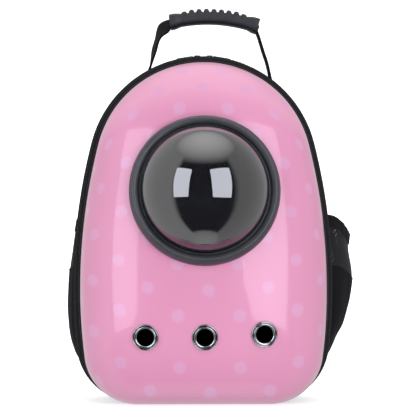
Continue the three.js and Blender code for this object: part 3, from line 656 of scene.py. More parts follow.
def dotted_pink(shell):
    """Glossy sheet with a staggered row of soft dots under a clear coat."""
    finish, tree, shader = new_finish("dotted_pink_sheet")
    where = places(tree)
    split = tree.nodes.new("ShaderNodeSeparateXYZ")
    tree.links.new(where, split.inputs[0])
    x, z = drawn_over_rim(tree, split.outputs)
    # Rows lie a fixed step apart up the face. Low down they bend up at the sides, near the crown down.
    lean = maths(tree, "MULTIPLY", maths(tree, "SUBTRACT", 0.31, z), 0.023)
    x = maths(tree, "SUBTRACT", x, lean)
    square = maths(tree, "MULTIPLY", x, x)
    low = maths(tree, "DIVIDE", maths(tree, "SUBTRACT", 0.23, z), 0.09)
    low = maths(tree, "MAXIMUM", maths(tree, "MINIMUM", low, 1.0), -1.0)
    bend = maths(tree, "MULTIPLY", maths(tree, "MULTIPLY", square, low), 0.65)
    level = maths(tree, "SUBTRACT", maths(tree, "SUBTRACT", z, bend), 0.0172)
    row = maths(tree, "DIVIDE", level, shell.dot_rows)
    index = maths(tree, "ROUND", row)
    dz = maths(tree, "MULTIPLY", maths(tree, "SUBTRACT", row, index), shell.dot_rows)
    odd = maths(tree, "MULTIPLY", maths(tree, "FLOORED_MODULO", index, 2.0), 0.5)
    # The sheet is drawn over the bulge, so the columns stand closer near the crown.
    crown = maths(tree, "MAXIMUM", maths(tree, "SUBTRACT", z, 0.19), 0.0)
    wide = maths(tree, "SUBTRACT", shell.dot_columns, maths(tree, "MULTIPLY", crown, 0.09))
    # Towards the steep sides the columns crowd together.
    steep = maths(tree, "DIVIDE", maths(tree, "SUBTRACT", 0.34, z), 0.1)
    steep = maths(tree, "MAXIMUM", maths(tree, "MINIMUM", steep, 1.0), 0.0)
    squeeze = maths(tree, "MULTIPLY_ADD", maths(tree, "MULTIPLY", square, steep), 3.0, 1.0)
    column = maths(tree, "ADD", maths(tree, "DIVIDE", maths(tree, "MULTIPLY", x, squeeze), wide), odd)
    near = maths(tree, "SUBTRACT", column, maths(tree, "ROUND", column))
    dx = maths(tree, "DIVIDE", maths(tree, "MULTIPLY", near, wide), squeeze)
    wobble = grain(tree, where, 260.0, 2.0, 0.5)
    away = maths(tree, "SQRT", maths(tree, "ADD", maths(tree, "MULTIPLY", dx, dx), maths(tree, "MULTIPLY", dz, dz)))
    away = maths(tree, "ADD", away, maths(tree, "MULTIPLY", maths(tree, "SUBTRACT", wobble, 0.5), 0.0008))
    edge = tree.nodes.new("ShaderNodeMapRange")
    edge.interpolation_type = "SMOOTHSTEP"
    tree.links.new(away, edge.inputs["Value"])
    for key, value in (("From Min", shell.dot_radius + 0.0010), ("From Max", shell.dot_radius - 0.0020),
                       ("To Min", 0.0), ("To Max", 1.0)):
        edge.inputs[key].default_value = value
    cloud = grain(tree, where, 9.0, 3.0, 0.5)
    pink = blended(tree, cloud, tuple(0.97 * c for c in shell.pink), tuple(min(1, 1.03 * c) for c in shell.pink))
    # Near the crown the pink is painted paler: a painted highlight for the brighter light falling on the top.
    crown_highlight_share = maths(tree, "DIVIDE", maths(tree, "SUBTRACT", maths(tree, "ADD", z, maths(tree, "MULTIPLY", square, 2.2)),
                                        0.352), 0.03)
    crown_highlight_share = maths(tree, "MINIMUM", maths(tree, "MAXIMUM", crown_highlight_share, 0.0), 1.0)
    # The paler pink here is a painted highlight on the crown, not the sheet's own colour.
    pink = blended(tree, maths(tree, "MULTIPLY", crown_highlight_share, 0.5), pink, (0.90, 0.44, 0.63))
    shade = blended(tree, edge.outputs["Result"], pink, tuple(shell.dot_colour))
    tree.links.new(shade, shader.inputs["Base Color"])
    shader.inputs["Roughness"].default_value = 0.28
    shader.inputs["IOR"].default_value = 1.5
    shader.inputs["Specular IOR Level"].default_value = 0.18
    shader.inputs["Coat Weight"].default_value = 1.0
    shader.inputs["Coat Roughness"].default_value = 0.03
    shader.inputs["Coat IOR"].default_value = 1.32
    ripple = grain(tree, where, 16.0, 1.0, 0.4)
    bumped(tree, shader, ripple, 0.0006, 0.6, "Coat Normal")
    return finish


def smoked_clear(window):
    finish, tree, shader = new_finish("smoked_dome")
    where = places(tree)
    haze = ramp(tree, grain(tree, where, 40.0, 5.0, 0.6), [(0.35, 0.015), (0.75, 0.05)])
    tree.links.new(haze, shader.inputs["Roughness"])
    cloud = grain(tree, where, 8.0, 2.0, 0.5)
    tint = blended(tree, cloud, tuple(0.9 * c for c in window.smoke), tuple(1.1 * c for c in window.smoke))
    tree.links.new(tint, shader.inputs["Base Color"])
    shader.inputs["IOR"].default_value = 1.5
    shader.inputs["Transmission Weight"].default_value = 0.95
    shader.inputs["Specular IOR Level"].default_value = 0.75
    shader.inputs["Coat Weight"].default_value = 1.0
    shader.inputs["Coat IOR"].default_value = 1.8
    shader.inputs["Coat Roughness"].default_value = 0.01
    return finish


def plated(vents):
    finish, tree, shader = new_finish("plated_eyelet")
    where = places(tree)
    cloud = grain(tree, where, 120.0, 5.0, 0.6)
    dull = tuple(0.82 * c for c in vents.chrome)
    tree.links.new(blended(tree, cloud, dull, tuple(vents.chrome)), shader.inputs["Base Color"])
    tree.links.new(ramp(tree, cloud, [(0.3, 0.07), (0.8, 0.2)]), shader.inputs["Roughness"])
    shader.inputs["Metallic"].default_value = 1.0
    bumped(tree, shader, cloud, 0.00004)
    return finish


FINISHES = {}


def finish_for(key):
    """Each finish is made once and shared by the pieces that have it."""
    if key not in FINISHES:
        sizes = carrier()
        cloth = tuple(sizes.body.cloth)
        webbing = tuple(sizes.body.webbing)
        black = tuple(sizes.window.black)
        rubber = tuple(sizes.handle.rubber)
        makers = {
            "shell": lambda: dotted_pink(sizes.shell),
            "dome": lambda: smoked_clear(sizes.window),
            "ring": lambda: moulded_finish("satin_ring", black, 0.36, 0.00004),
            "eyelet": lambda: plated(sizes.vents),
            "cloth": lambda: cloth_finish("woven_black_cloth", cloth, 0.0008, 0.0008, 0.00022),
            "lining": lambda: cloth_finish("black_lining", tuple(0.7 * c for c in cloth), 0.0006, 0.0006, 0.0001),
            "pad": lambda: soft_cloth_finish("padded_black_cloth", cloth, 0.0012, 0.00025),
            "binding": lambda: cloth_finish("edge_binding", tuple(1.25 * c for c in cloth), 0.0014, 0.0007, 0.0002),
            "webbing": lambda: cloth_finish("ribbed_webbing", webbing, 0.0031, 0.0011, 0.00045),
            "net": lambda: cloth_finish("knitted_net", tuple(5 * c for c in webbing), 0.0005, 0.0005, 0.0001, 0.1),
            "thread": lambda: cloth_finish("sewing_thread", tuple(2.4 * c for c in cloth), 0.0004, 0.0004, 0.00008),
            "rubber": lambda: moulded_finish("ribbed_rubber", rubber, 0.55, 0.00008, 1.3),
            "zip": lambda: moulded_finish("moulded_zip", tuple(0.6 * c for c in black), 0.34, 0.00003),
            "piping": lambda: cloth_finish("dark_piping", webbing, 0.0012, 0.0009, 0.00015, 0.15, 0.7),
        }
        FINISHES[key] = makers[key]()
    return FINISHES[key]


def stitches(name, line, outward, run=0.0030, gap=0.0014, radius=0.00034):
    """A row of short sewn threads along a line of points, standing on the given directions."""
    line = np.asarray(line, float)
    outward = np.asarray(outward, float)
    walk = np.concatenate([[0], np.cumsum(np.linalg.norm(np.diff(line, axis=0), axis=1))])
    parts = []
    for start in np.arange(gap, walk[-1] - run, run + gap):
        along = np.linspace(start, start + run, 5)
        middle = np.column_stack([np.interp(along, walk, line[:, k]) for k in range(3)])
        up = np.column_stack([np.interp(along, walk, outward[:, k]) for k in range(3)])
        up /= np.linalg.norm(up, axis=1)[:, None]
        heading = middle[-1] - middle[0]
        heading /= np.linalg.norm(heading)
        rows = []
        for k, lift in enumerate((-0.6, 0.45, 0.75, 0.45, -0.6)):
            beside = np.cross(heading, up[k])
            centre = middle[k] + up[k] * lift * radius
            turns = np.arange(5) * 2 * math.pi / 5
            rows.append([centre + radius * (math.cos(t) * beside + math.sin(t) * up[k]) for t in turns])
        parts.append(tube(rows))
    return piece(name, merged(*parts), finish_for("thread"), in_row=True)


# Shell


def shell_part(shell, window):
    """The bulging sheet, from the rim in to the window's round hole, with its inner side."""
    place = window_seat()
    centre = np.array(place.translation)
    axis = np.array(place.to_3x3() @ Vector((0, 1, 0)))
    hole = window.dome_radius + window.flange_width / 2
    line = outline(0.0, 0.0, 7)

    def at(turn, swell):
        rim = outline(max(swell, 0), max(-swell, 0), 7)
        share = np.cos(turn) ** (2 / shell.fullness)
        out = np.sin(turn) ** (2 / shell.fullness)
        z = shell.face_centre + (rim[:, 1] - shell.face_centre) * share
        return np.column_stack([rim[:, 0] * share, -(face_plane_depth(z) + swell) * out, z])

    def away(points):
        offset = points - centre
        along = offset @ axis
        return np.linalg.norm(offset - along[:, None] * axis, axis=1)

    def skin(swell, steps):
        low, high = np.zeros(len(line)), np.full(len(line), math.pi / 2)
        for _ in range(40):
            middle = (low + high) / 2
            outside = away(at(middle, swell)) > hole
            low, high = np.where(outside, middle, low), np.where(outside, high, middle)
        return [at(high * (k / steps) ** 1.15, swell) for k in range(steps + 1)]

    outer = skin(0.0, 72)
    inner = skin(-shell.wall, 30)
    return grid(outer[::-1] + inner, closed=True, ring=True)


def cut_by(obj, *parts):
    """Cuts turned cutters out of a piece."""
    for k, part in enumerate(parts):
        points, faces, _ = part
        mesh = bpy.data.meshes.new(f"cutter_{k}")
        mesh.from_pydata([tuple(p) for p in to_row(points)], [], faces)
        tidy = bmesh.new()
        tidy.from_mesh(mesh)
        bmesh.ops.recalc_face_normals(tidy, faces=tidy.faces)
        tidy.to_mesh(mesh)
        tidy.free()
        cutter = bpy.data.objects.new(mesh.name, mesh)
        bpy.context.scene.collection.objects.link(cutter)
        cutting = obj.modifiers.new("cut", "BOOLEAN")
        cutting.operation = "DIFFERENCE"
        cutting.solver = "EXACT"
        cutting.object = cutter
    bpy.context.view_layer.update()
    used = [m.object for m in obj.modifiers]
    applied(obj)
    for cutter in used:
        bpy.data.objects.remove(cutter)
    return obj


def drill(radius, reach, steps, place):
    turns = np.arange(steps) * 2 * math.pi / steps
    rows = [np.column_stack([radius * np.cos(turns), np.full(steps, h), radius * np.sin(turns)])
            for h in (-reach, reach)]
    return placed(tube(rows), place)


class CARRIER_OT_front_shell(bpy.types.Operator):
    """Moulds the dotted front shell with its window and vent holes"""

    bl_idname = "carrier.front_shell"
    bl_label = "Front shell"

    def execute(self, context):
        sizes = carrier()
        vents = sizes.vents
        obj = piece("dotted_shell", shell_part(sizes.shell, sizes.window), finish_for("shell"),
                    ["front_shell"], sharp=50)
        bore = vents.bore + vents.barrel + GAP
        cut_by(obj, *[drill(bore, 0.012, 48, place) for place in vent_seats()])
        obj.data.shade_smooth()
        obj.data.set_sharp_from_angle(angle=math.radians(50))
        return {"FINISHED"}


# Window

# Section of the ring. Columns: share of the width in from the outer edge, share of the rise
RING_SECTION = [
    [0.00, 0.26], [0.015, 0.40], [0.05, 0.54], [0.10, 0.66], [0.17, 0.80], [0.24, 0.92], [0.31, 0.985],
    [0.38, 1.00], [0.47, 0.985], [0.57, 0.95], [0.67, 0.89], [0.74, 0.83], [0.765, 0.78], [0.78, 0.62],
    [0.80, 0.57], [0.85, 0.56], [0.872, 0.60], [0.885, 0.67], [0.91, 0.70], [0.955, 0.70], [0.975, 0.67],
]


def ring_part(window):
    """The ring's skirt follows the face it stands on, so its lower edge runs up and down."""
    steps = 144
    place = window_seat()
    turn = np.array(place.to_3x3())
    centre = np.array(place.translation)
    turns = np.arange(steps) * 2 * math.pi / steps
    radial = np.column_stack([np.cos(turns), np.zeros(steps), np.sin(turns)])

    def at(radius, height):
        local = radial * radius
        local[:, 1] = height
        return local @ turn.T + centre

    def face_height(radius):
        low, high = np.full(steps, -0.04), np.full(steps, 0.02)
        for _ in range(40):
            middle = (low + high) / 2
            points = at(radius, middle)
            inside = points[:, 1] > face_y(points[:, 0], points[:, 2])
            low, high = np.where(inside, middle, low), np.where(inside, high, middle)
        return high

    lip = window.dome_radius + GAP
    rebate = window.dome_radius + window.flange_width + GAP
    ledge = window.dome_wall + 2 * GAP
    outer_foot = face_height(window.ring_radius) - GAP
    inner_foot = face_height(rebate) - GAP
    rows = [at(window.ring_radius, outer_foot), at(window.ring_radius + 0.0002, outer_foot * 0.5)]
    rows += [at(window.ring_radius - into * window.ring_width, np.full(steps, up * window.ring_rise))
             for into, up in RING_SECTION]
    rows += [at(lip, np.full(steps, h)) for h in (0.62 * window.ring_rise, ledge)]
    rows += [at(rebate, np.full(steps, ledge)), at(rebate, inner_foot)]
    return grid(rows, closed=True, ring=True)


def dome_part(window):
    """A round cap on a short skirt with a hidden flange"""
    def cap(radius, rise, steps):
        ball = (radius**2 + rise**2) / (2 * rise)
        rim = math.asin(min(radius / ball, 1))
        turns = rim * (1 - np.arange(steps + 1) / steps)
        return np.column_stack([ball * np.sin(turns), window.dome_skirt + rise - ball + ball * np.cos(turns)])

    wall = window.dome_wall
    inner_radius = window.dome_radius - wall
    flange = window.dome_radius + window.flange_width
    outer = cap(window.dome_radius, window.dome_rise, 40)
    inner = cap(inner_radius, window.dome_rise - wall, 24)
    outer[-1, 0] = inner[-1, 0] = 2e-6
    foot = GAP
    profile = [*outer[::-1], (window.dome_radius, foot + wall), (flange, foot + wall), (flange, foot),
               (inner_radius, foot), *inner]
    return turned(profile, 144, window_seat())


def lug_part(window):
    """Small clear lugs in a ring behind the dome's foot"""
    parts = []
    for i in range(12):
        turn = Matrix.Rotation(i * math.pi / 6 + math.pi / 12, 4, "Y")
        low = (-0.0045, 0.0035, window.dome_radius - window.dome_wall - 0.0030)
        high = (0.0045, 0.0062, window.dome_radius - window.dome_wall - 0.0008)
        parts.append(placed(block(low, high, 0.0006), window_seat() @ turn))
    return merged(*parts)


class CARRIER_OT_window(bpy.types.Operator):
    """Turns the black ring and the smoked dome that it clamps"""

    bl_idname = "carrier.window"
    bl_label = "Ring and dome"

    def execute(self, context):
        window = carrier().window
        piece("satin_window_ring", ring_part(window), finish_for("ring"), ["window_ring"], sharp=55)
        piece("smoked_bubble", dome_part(window), finish_for("dome"), ["bubble_dome"], sharp=50)
        piece("dome_lugs", lug_part(window), finish_for("dome"))
        return {"FINISHED"}


# Vents

# Face of an eyelet from its edge to its bore. Columns: share of the way out, share of the rise
EYELET_SECTION = [
    [1.00, 0.25], [0.985, 0.42], [0.93, 0.66], [0.84, 0.84], [0.74, 0.88], [0.64, 0.80], [0.56, 0.60],
    [0.50, 0.40], [0.44, 0.36], [0.38, 0.44], [0.32, 0.66], [0.24, 0.86], [0.14, 0.98], [0.04, 1.00],
]


def eyelet_part(vents, place):
    barrel = vents.bore + vents.barrel
    face = vents.radius - barrel
    profile = [(barrel, -0.006), (barrel, GAP), (vents.radius, GAP)]
    profile += [(barrel + out * face, up * vents.rise) for out, up in EYELET_SECTION]
    profile += [(barrel - 0.0006, 0.95 * vents.rise), (vents.bore + 0.0003, 0.72 * vents.rise),
                (vents.bore, 0.4 * vents.rise), (vents.bore, -0.006)]
    return turned(profile, 72, place)


def hexagon_net(cells, hole, wall, point_at):
    """A net of hexagons round six-sided holes. cells are (u, v) centres and point_at gives a place and outward."""
    parts = []
    for u, v, reach in cells:
        turns = math.pi / 6 + np.arange(6) * math.pi / 3
        layers = []
        for radius, lift in ((reach, 0.5), (hole, 0.35), (hole, -0.35), (reach, -0.5)):
            row = []
            for t in turns:
                point, out = point_at(u + radius * math.cos(t), v + radius * math.sin(t))
                row.append(np.asarray(point) + np.asarray(out) * lift * wall)
            layers.append(row)
        parts.append(grid(layers, closed=True))
    return merged(*parts)


def hexagon_cells(width, height, pitch, keep=lambda u, v: True):
    reach = pitch / math.sqrt(3)
    cells = []
    rows = int(height / (1.5 * reach)) + 2
    columns = int(width / pitch) + 2
    for j in range(-rows, rows + 1):
        for i in range(-columns, columns + 1):
            u = (i + 0.5 * (j % 2)) * pitch
            v = j * 1.5 * reach
            if keep(u, v):
                cells.append((u, v, reach))
    return cells


class CARRIER_OT_vents(bpy.types.Operator):
    """Turns the plated eyelets round their open bores"""

    bl_idname = "carrier.vents"
    bl_label = "Vent eyelets"

    def execute(self, context):
        vents = carrier().vents
        for k, place in enumerate(vent_seats(), 1):
            piece(f"plated_eyelet_{k}", eyelet_part(vents, place), finish_for("eyelet"),
                  [f"vent_eyelet_{k}"], sharp=60)
        return {"FINISHED"}


# Rim piping, gusset and zip


def edge_depths():
    edge = carrier().edge
    gusset_front = 2 * edge.piping_radius + 2 * GAP
    zip_front = gusset_front + edge.gusset_depth + GAP
    body_front = zip_front + edge.tape_depth + GAP
    return gusset_front, zip_front, body_front


def round_section(depth, inset, radius, steps):
    turns = 2 * math.pi * (np.arange(steps) + 0.5) / steps
    return [(depth + radius * math.cos(t), inset + radius * math.sin(t)) for t in turns]


def puckered(rows, amount, scale, seed):
    """Moves points of cloth in and out along their loop's outward direction by a small soft noise."""
    rows = np.asarray(rows, float)
    middle = np.array([0.0, 0.0, carrier().shell.face_centre])
    for loop in rows:
        for k, point in enumerate(loop):
            out = point - middle
            out[1] = 0
            out /= max(np.linalg.norm(out), 1e-9)
            swell = noise.noise(Vector(point * scale) + Vector((seed, seed, seed)))
            loop[k] = point + out * amount * swell
    return rows


def above_base(seam, out):
    """The part of a seam's loop that stands over the flat base, from one lower corner to the other"""
    turn = -int(np.argmin(seam[:, 2] + 10 * (seam[:, 0] < 0)))
    seam, out = np.roll(seam, turn, axis=0), np.roll(out, turn, axis=0)
    keep = seam[:, 2] > 0.004
    return seam[keep], out[keep]


class CARRIER_OT_front_edge(bpy.types.Operator):
    """Runs the piping and the cloth gusset round the shell's rim"""

    bl_idname = "carrier.front_edge"
    bl_label = "Piping and gusset"

    def execute(self, context):
        edge = carrier().edge
        gusset_front, zip_front, _ = edge_depths()
        radius = edge.piping_radius
        piping = band(radius, round_section(GAP + radius, radius, radius, 14))
        piece("rim_cord", piping, finish_for("piping"), ["rim_piping"])
        start = edge.gusset_proud - radius
        back = gusset_front + edge.gusset_depth
        wall = edge.cloth_wall
        outer = smooth_line([(gusset_front, start), (gusset_front + 0.25 * edge.gusset_depth, 0.32 * start),
                             (gusset_front + 0.55 * edge.gusset_depth, 0.08 * start), (back, wall / 2)], 12)
        inner = [(depth, inset + wall) for depth, inset in outer[::-1]]
        section = [*map(tuple, outer), *inner]
        rows = [loop_at(depth, edge.gusset_proud, inset) for depth, inset in section]
        rows = puckered(rows, 0.0007, 55.0, 3.1)
        rows[..., 2] = np.maximum(rows[..., 2], 0.0004)
        piece("cloth_gusset", grid(rows, closed=True, ring=True), finish_for("cloth"),
              ["front_gusset"], sharp=60)
        seam = loop_at(back - 0.0022, edge.gusset_proud, wall / 2 - 0.0004, 8)
        out = seam - np.array([0, back, carrier().shell.face_centre])
        out[:, 1] = 0
        seam, out = above_base(seam, out)
        stitches("gusset_stitches", to_row(seam), out)
        return {"FINISHED"}


class CARRIER_OT_zip(bpy.types.Operator):
    """Sews the zip tape and its teeth in place and finishes the sliders and pulls"""

    bl_idname = "carrier.zip"
    bl_label = "Zip"

    def execute(self, context):
        edge = carrier().edge
        _, zip_front, _ = edge_depths()
        tape_inset = edge.coil_radius + edge.tape_wall / 2
        middle = zip_front + edge.tape_depth / 2
        soft = edge.tape_wall / 4
        section = [(zip_front, tape_inset + soft), (zip_front + soft, tape_inset),
                   (zip_front + edge.tape_depth - soft, tape_inset),
                   (zip_front + edge.tape_depth, tape_inset + soft),
                   (zip_front + edge.tape_depth, tape_inset + edge.tape_wall),
                   (zip_front, tape_inset + edge.tape_wall)]
        piece("woven_zip_tape", band(edge.gusset_proud, section), finish_for("binding"),
              ["zip_tape"], sharp=50)
        foot = tape_inset - GAP
        line = loop_at(middle, edge.gusset_proud, foot - edge.coil_radius / 2, 8)
        line = np.concatenate([line, line[:1]])
        walk = np.concatenate([[0], np.cumsum(np.linalg.norm(np.diff(line, axis=0), axis=1))])
        pitch = 0.0022
        count = int(walk[-1] / pitch)
        parts = []
        for k in range(count):
            along = walk[-1] * k / count
            ahead = (along + 0.0005) % walk[-1]
            point, next_point = (np.array([np.interp(a, walk, line[:, c]) for c in range(3)])
                                 for a in (along, ahead))
            heading = Vector(next_point - point).normalized()
            across = Vector((0, 1, 0))
            out = across.cross(heading).normalized()
            place = Matrix((heading, across, out)).transposed().to_4x4()
            place.translation = Vector(point)
            shift = 0.35 * edge.coil_radius * (1 if k % 2 else -1)
            low = (-0.00075, -0.9 * edge.coil_radius + shift, -edge.coil_radius / 2)
            high = (0.00075, 0.9 * edge.coil_radius + shift, edge.coil_radius / 2)
            parts.append(placed(block(low, high, 0.0003), place))
        piece("zip_teeth", merged(*parts), finish_for("zip"), ["zip_coil"])
        for word, _ in SIDES:
            for part in ("zip_slider", "zip_pull"):
                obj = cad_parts[f"{part}_{word}"]
                obj.data.materials.clear()
                obj.data.materials.append(finish_for("zip"))
                nipped = obj.modifiers.new("nipped_edges", "BEVEL")
                nipped.width = 0.0005
                nipped.segments = 2
                nipped.limit_method = "ANGLE"
        return {"FINISHED"}


# Fabric body

# Columns: share of the straight depth, how far the loop draws in as a share of the stand-out
BODY_BARREL = [[0.0, 0.20], [0.12, 0.08], [0.33, 0.0], [0.66, 0.02], [1.0, 0.06]]


def body_rows(inset, fine, puckers=True):
    """Loops from the front of the body over its soft back edge"""
    sizes = carrier()
    body = sizes.body
    _, _, front = edge_depths()
    back = front + body.depth
    straight = body.depth - body.edge
    rows = []
    for share in np.linspace(0, 1, 22):
        draw = look_up(BODY_BARREL, share)
        rows.append(loop_at(front + share * straight, body.proud * (1 - draw), inset, fine))
    reach = body.edge - inset
    for k in range(1, 11):
        turn = math.pi / 2 * k / 10
        rows.append(loop_at(back - body.edge + reach * math.sin(turn), 0.94 * body.proud,
                            inset + reach * (1 - math.cos(turn)), fine))
    rows = np.asarray(rows)
    if puckers:
        rows = puckered(rows, 0.0014, 17.0, 7.7)
        rows = puckered(rows, 0.0005, 70.0, 1.3)
    rows[..., 2] = np.maximum(rows[..., 2], inset)
    return rows


class CARRIER_OT_fabric_body(bpy.types.Operator):
    """Sews the black cloth body with its seams and lining"""

    bl_idname = "carrier.fabric_body"
    bl_label = "Fabric body"

    def execute(self, context):
        sizes = carrier()
        wall = sizes.edge.cloth_wall
        _, _, front = edge_depths()
        back = front + sizes.body.depth
        rows = body_rows(0.0, 6)
        centre = rows[-1].mean(0)
        panel = [centre + (rows[-1] - centre) * share for share in (1, 0.94, 0.8, 0.6, 0.4, 0.2, 0.05)]
        panel = np.asarray(panel)
        for loop in panel[1:]:
            for k, point in enumerate(loop):
                loop[k, 1] = back + 0.0006 * noise.noise(Vector(point * 28.0))
        outer = merged(grid(rows, closed=True), grid(panel, closed=True), fan(panel[-1], panel[-1].mean(0)))
        inner_rows = body_rows(wall, 6, False)
        inner = merged(grid(inner_rows, closed=True), fan(inner_rows[-1], inner_rows[-1].mean(0)))
        mouth = grid([rows[0], inner_rows[0]], closed=True)
        obj = piece("cloth_body", merged(outer, inner, mouth), finish_for("cloth"),
                    ["fabric_body"], sharp=60)
        welts = []
        for depth, grow, inset in ((front + 0.0012, 0.8 * sizes.body.proud, 0.0),
                                   (back - sizes.body.edge * 0.30, 0.94 * sizes.body.proud,
                                    sizes.body.edge * 0.29)):
            line = loop_at(depth, grow, inset, 6)
            radius = 0.0016
            section = round_section(depth, inset, radius, 10)
            welts.append(grid([loop_at(d, grow, i, 6) for d, i in section], closed=True, ring=True))
        welt = merged(*welts)
        welt[0][:, 2] = np.maximum(welt[0][:, 2], 0.0002)
        piece("body_welts", welt, finish_for("binding"))
        for k, depth in enumerate((front + 0.0075, back - sizes.body.edge - 0.002), 1):
            share = (depth - front) / (sizes.body.depth - sizes.body.edge)
            grow = sizes.body.proud * (1 - look_up(BODY_BARREL, share))
            seam = puckered([loop_at(depth, grow, 0.0, 8)], 0.0014, 17.0, 7.7)
            seam = puckered(seam, 0.0005, 70.0, 1.3)[0]
            out = seam - np.array([0, depth, sizes.shell.face_centre])
            out[:, 1] = 0
            seam, out = above_base(seam, out)
            stitches(f"body_stitches_{k}", to_row(seam), out)
        return {"FINISHED"}


# Padded pieces


def puffed(obj, voxel, swell, cap):
    """Swells a closed pad with air pressure and keeps each point within the cap of its start."""
    remesh = obj.modifiers.new("even", "REMESH")
    remesh.mode = "VOXEL"
    remesh.voxel_size = voxel
    applied(obj)
    start = np.array([v.co for v in obj.data.vertices])
    cloth = obj.modifiers.new("cloth", "CLOTH")
    cloth.settings.quality = 6
    cloth.settings.mass = 0.3
    cloth.settings.tension_stiffness = 18
    cloth.settings.compression_stiffness = 18
    cloth.settings.shear_stiffness = 6
    cloth.settings.bending_stiffness = 1.5
    cloth.settings.use_pressure = True
    cloth.settings.uniform_pressure_force = swell
    cloth.settings.effector_weights.gravity = 0
    cloth.point_cache.frame_start = 1
    cloth.point_cache.frame_end = 20
    scene = bpy.context.scene
    for step in range(1, 21):
        scene.frame_set(step)
        graph = bpy.context.evaluated_depsgraph_get()
        obj.evaluated_get(graph)
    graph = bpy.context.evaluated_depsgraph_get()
    made = obj.evaluated_get(graph).to_mesh()
    end = np.array([v.co for v in made.vertices])
    move = end - start
    far = np.linalg.norm(move, axis=1)
    move *= np.minimum(1.0, cap / np.maximum(far, 1e-9))[:, None]
    obj.modifiers.clear()
    obj.data.vertices.foreach_set("co", (start + move).ravel())
    scene.frame_set(1)
    finer = obj.modifiers.new("finer", "SUBSURF")
    finer.levels = finer.render_levels = 1
    applied(obj)
    return obj


def pressed(obj, groove):
    """Moves each point by groove(point), for seams and sewn channels."""
    for vertex in obj.data.vertices:
        vertex.co = groove(vertex.co.copy())
    obj.data.shade_smooth()
    obj.data.update()
    return obj


class CARRIER_OT_back_pad(bpy.types.Operator):
    """Fills the back pad, swells it and presses its sewn channels in"""

    bl_idname = "carrier.back_pad"
    bl_label = "Back pad"

    def execute(self, context):
        sizes = carrier()
        straps = sizes.straps
        low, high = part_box("back_pad")
        _, _, front = edge_depths()
        start = front + sizes.body.depth + GAP
        thick = 0.80 * straps.pad_thickness
        rows = []
        for share, draw in ((0, 0.25), (0.15, 0.08), (0.4, 0.0), (0.65, 0.10), (0.85, 0.35), (1.0, 0.9)):
            rows.append(loop_at(start + share * thick, 0.0,
                                straps.pad_margin + 0.0012 + draw * straps.pad_thickness, 4))
        part = merged(grid(rows, closed=True), fan(rows[0], rows[0].mean(0)), fan(rows[-1], rows[-1].mean(0)))
        obj = piece("channelled_back_pad", part, finish_for("pad"), ["back_pad"])
        puffed(obj, 0.0045, 3.0, 0.0016)
        floor = low.y
        middle_z = (low.z + high.z) / 2

        def groove(point):
            depth = 0.0
            for x in (-0.030, 0.030):
                depth = max(depth, math.exp(-(((point.x - x) / 0.0028) ** 2)))
            rise = point.y - floor
            if rise > 0.35 * straps.pad_thickness:
                edge = min(high.x - abs(point.x), high.z - point.z, point.z - low.z)
                fade = min(max(edge / 0.012, 0.0), 1.0)
                point.y -= 0.0042 * depth * fade
                point.y += 0.0004 * noise.noise(point * 40.0)
            point.y = min(max(point.y, floor), high.y)
            return point

        pressed(obj, groove)
        for word, x in (("left", -0.030), ("right", 0.030)):
            for k, side in enumerate((-0.0035, 0.0035), 1):
                line = [(x + side, high.y - 0.0014, z) for z in np.linspace(low.z + 0.012, high.z - 0.035, 60)]
                out = [(0, 1, 0)] * len(line)
                stitches(f"pad_stitches_{word}_{k}", line, out)
        return {"FINISHED"}


# Shoulder straps. Columns: share of the way down, share of the spread, share of the bow
STRAP_ROWS = [
    [0.00, 0.00, -0.30],
    [0.06, 0.00, 0.25],
    [0.16, 0.02, 0.62],
    [0.32, 0.18, 0.92],
    [0.50, 0.50, 1.00],
    [0.70, 0.82, 0.96],
    [0.86, 0.96, 0.86],
    [1.00, 1.00, 0.74],
]


def strap_line(side, steps):
    sizes = carrier()
    straps = sizes.straps
    _, _, front = edge_depths()
    back = front + sizes.body.depth
    base = back + straps.pad_thickness
    points = []
    for down, out, bow in STRAP_ROWS:
        y = back + bow * straps.thickness if bow < 0 else base + bow * straps.bow
        points.append((side * (straps.top_spread + (straps.bottom_spread - straps.top_spread) * out), y,
                       straps.top + (straps.bottom - straps.top) * down))
    return smooth_line(points, steps)


def headings(line):
    steps = np.gradient(line, axis=0)
    return steps / np.linalg.norm(steps, axis=1)[:, None]


def ribbon(line, width, thickness, wide, section, taper=None, twist=None):
    """A band along a line. section is a row of shares of the half width and half thickness."""
    along = headings(line)
    rows = []
    for k, (centre, heading) in enumerate(zip(line, along)):
        normal = np.cross(heading, wide)
        normal /= np.linalg.norm(normal)
        across = np.cross(normal, heading)
        if twist is not None:
            turn = twist(k / (len(line) - 1))
            across, normal = (across * math.cos(turn) + normal * math.sin(turn),
                              normal * math.cos(turn) - across * math.sin(turn))
        half = width / 2 * (taper(k / (len(line) - 1)) if taper else 1.0)
        rows.append([centre + a * half * across + n * thickness / 2 * normal for a, n in section])
    return tube(rows)


def crowned_section(power, steps):
    turns = 2 * math.pi * np.arange(steps) / steps
    c, s = np.cos(turns), np.sin(turns)
    return [(math.copysign(abs(a) ** (2 / power[0]), a), math.copysign(abs(b) ** (2 / power[1]), b))
            for a, b in zip(c, s)]


FLAT_SECTION = [(-1, 0.35), (-0.97, 0.8), (-0.9, 1), (-0.45, 1), (0, 1), (0.45, 1), (0.9, 1), (0.97, 0.8),
                (1, 0.35), (1, -0.35), (0.97, -0.8), (0.9, -1), (0.45, -1), (0, -1), (-0.45, -1), (-0.9, -1),
                (-0.97, -0.8), (-1, -0.35)]


def strap_taper(straps):
    start = 0.88
    end = straps.adjuster_width / straps.width
    return lambda t: 1.0 if t < start else 1 - (1 - end) * (t - start) / (1 - start)


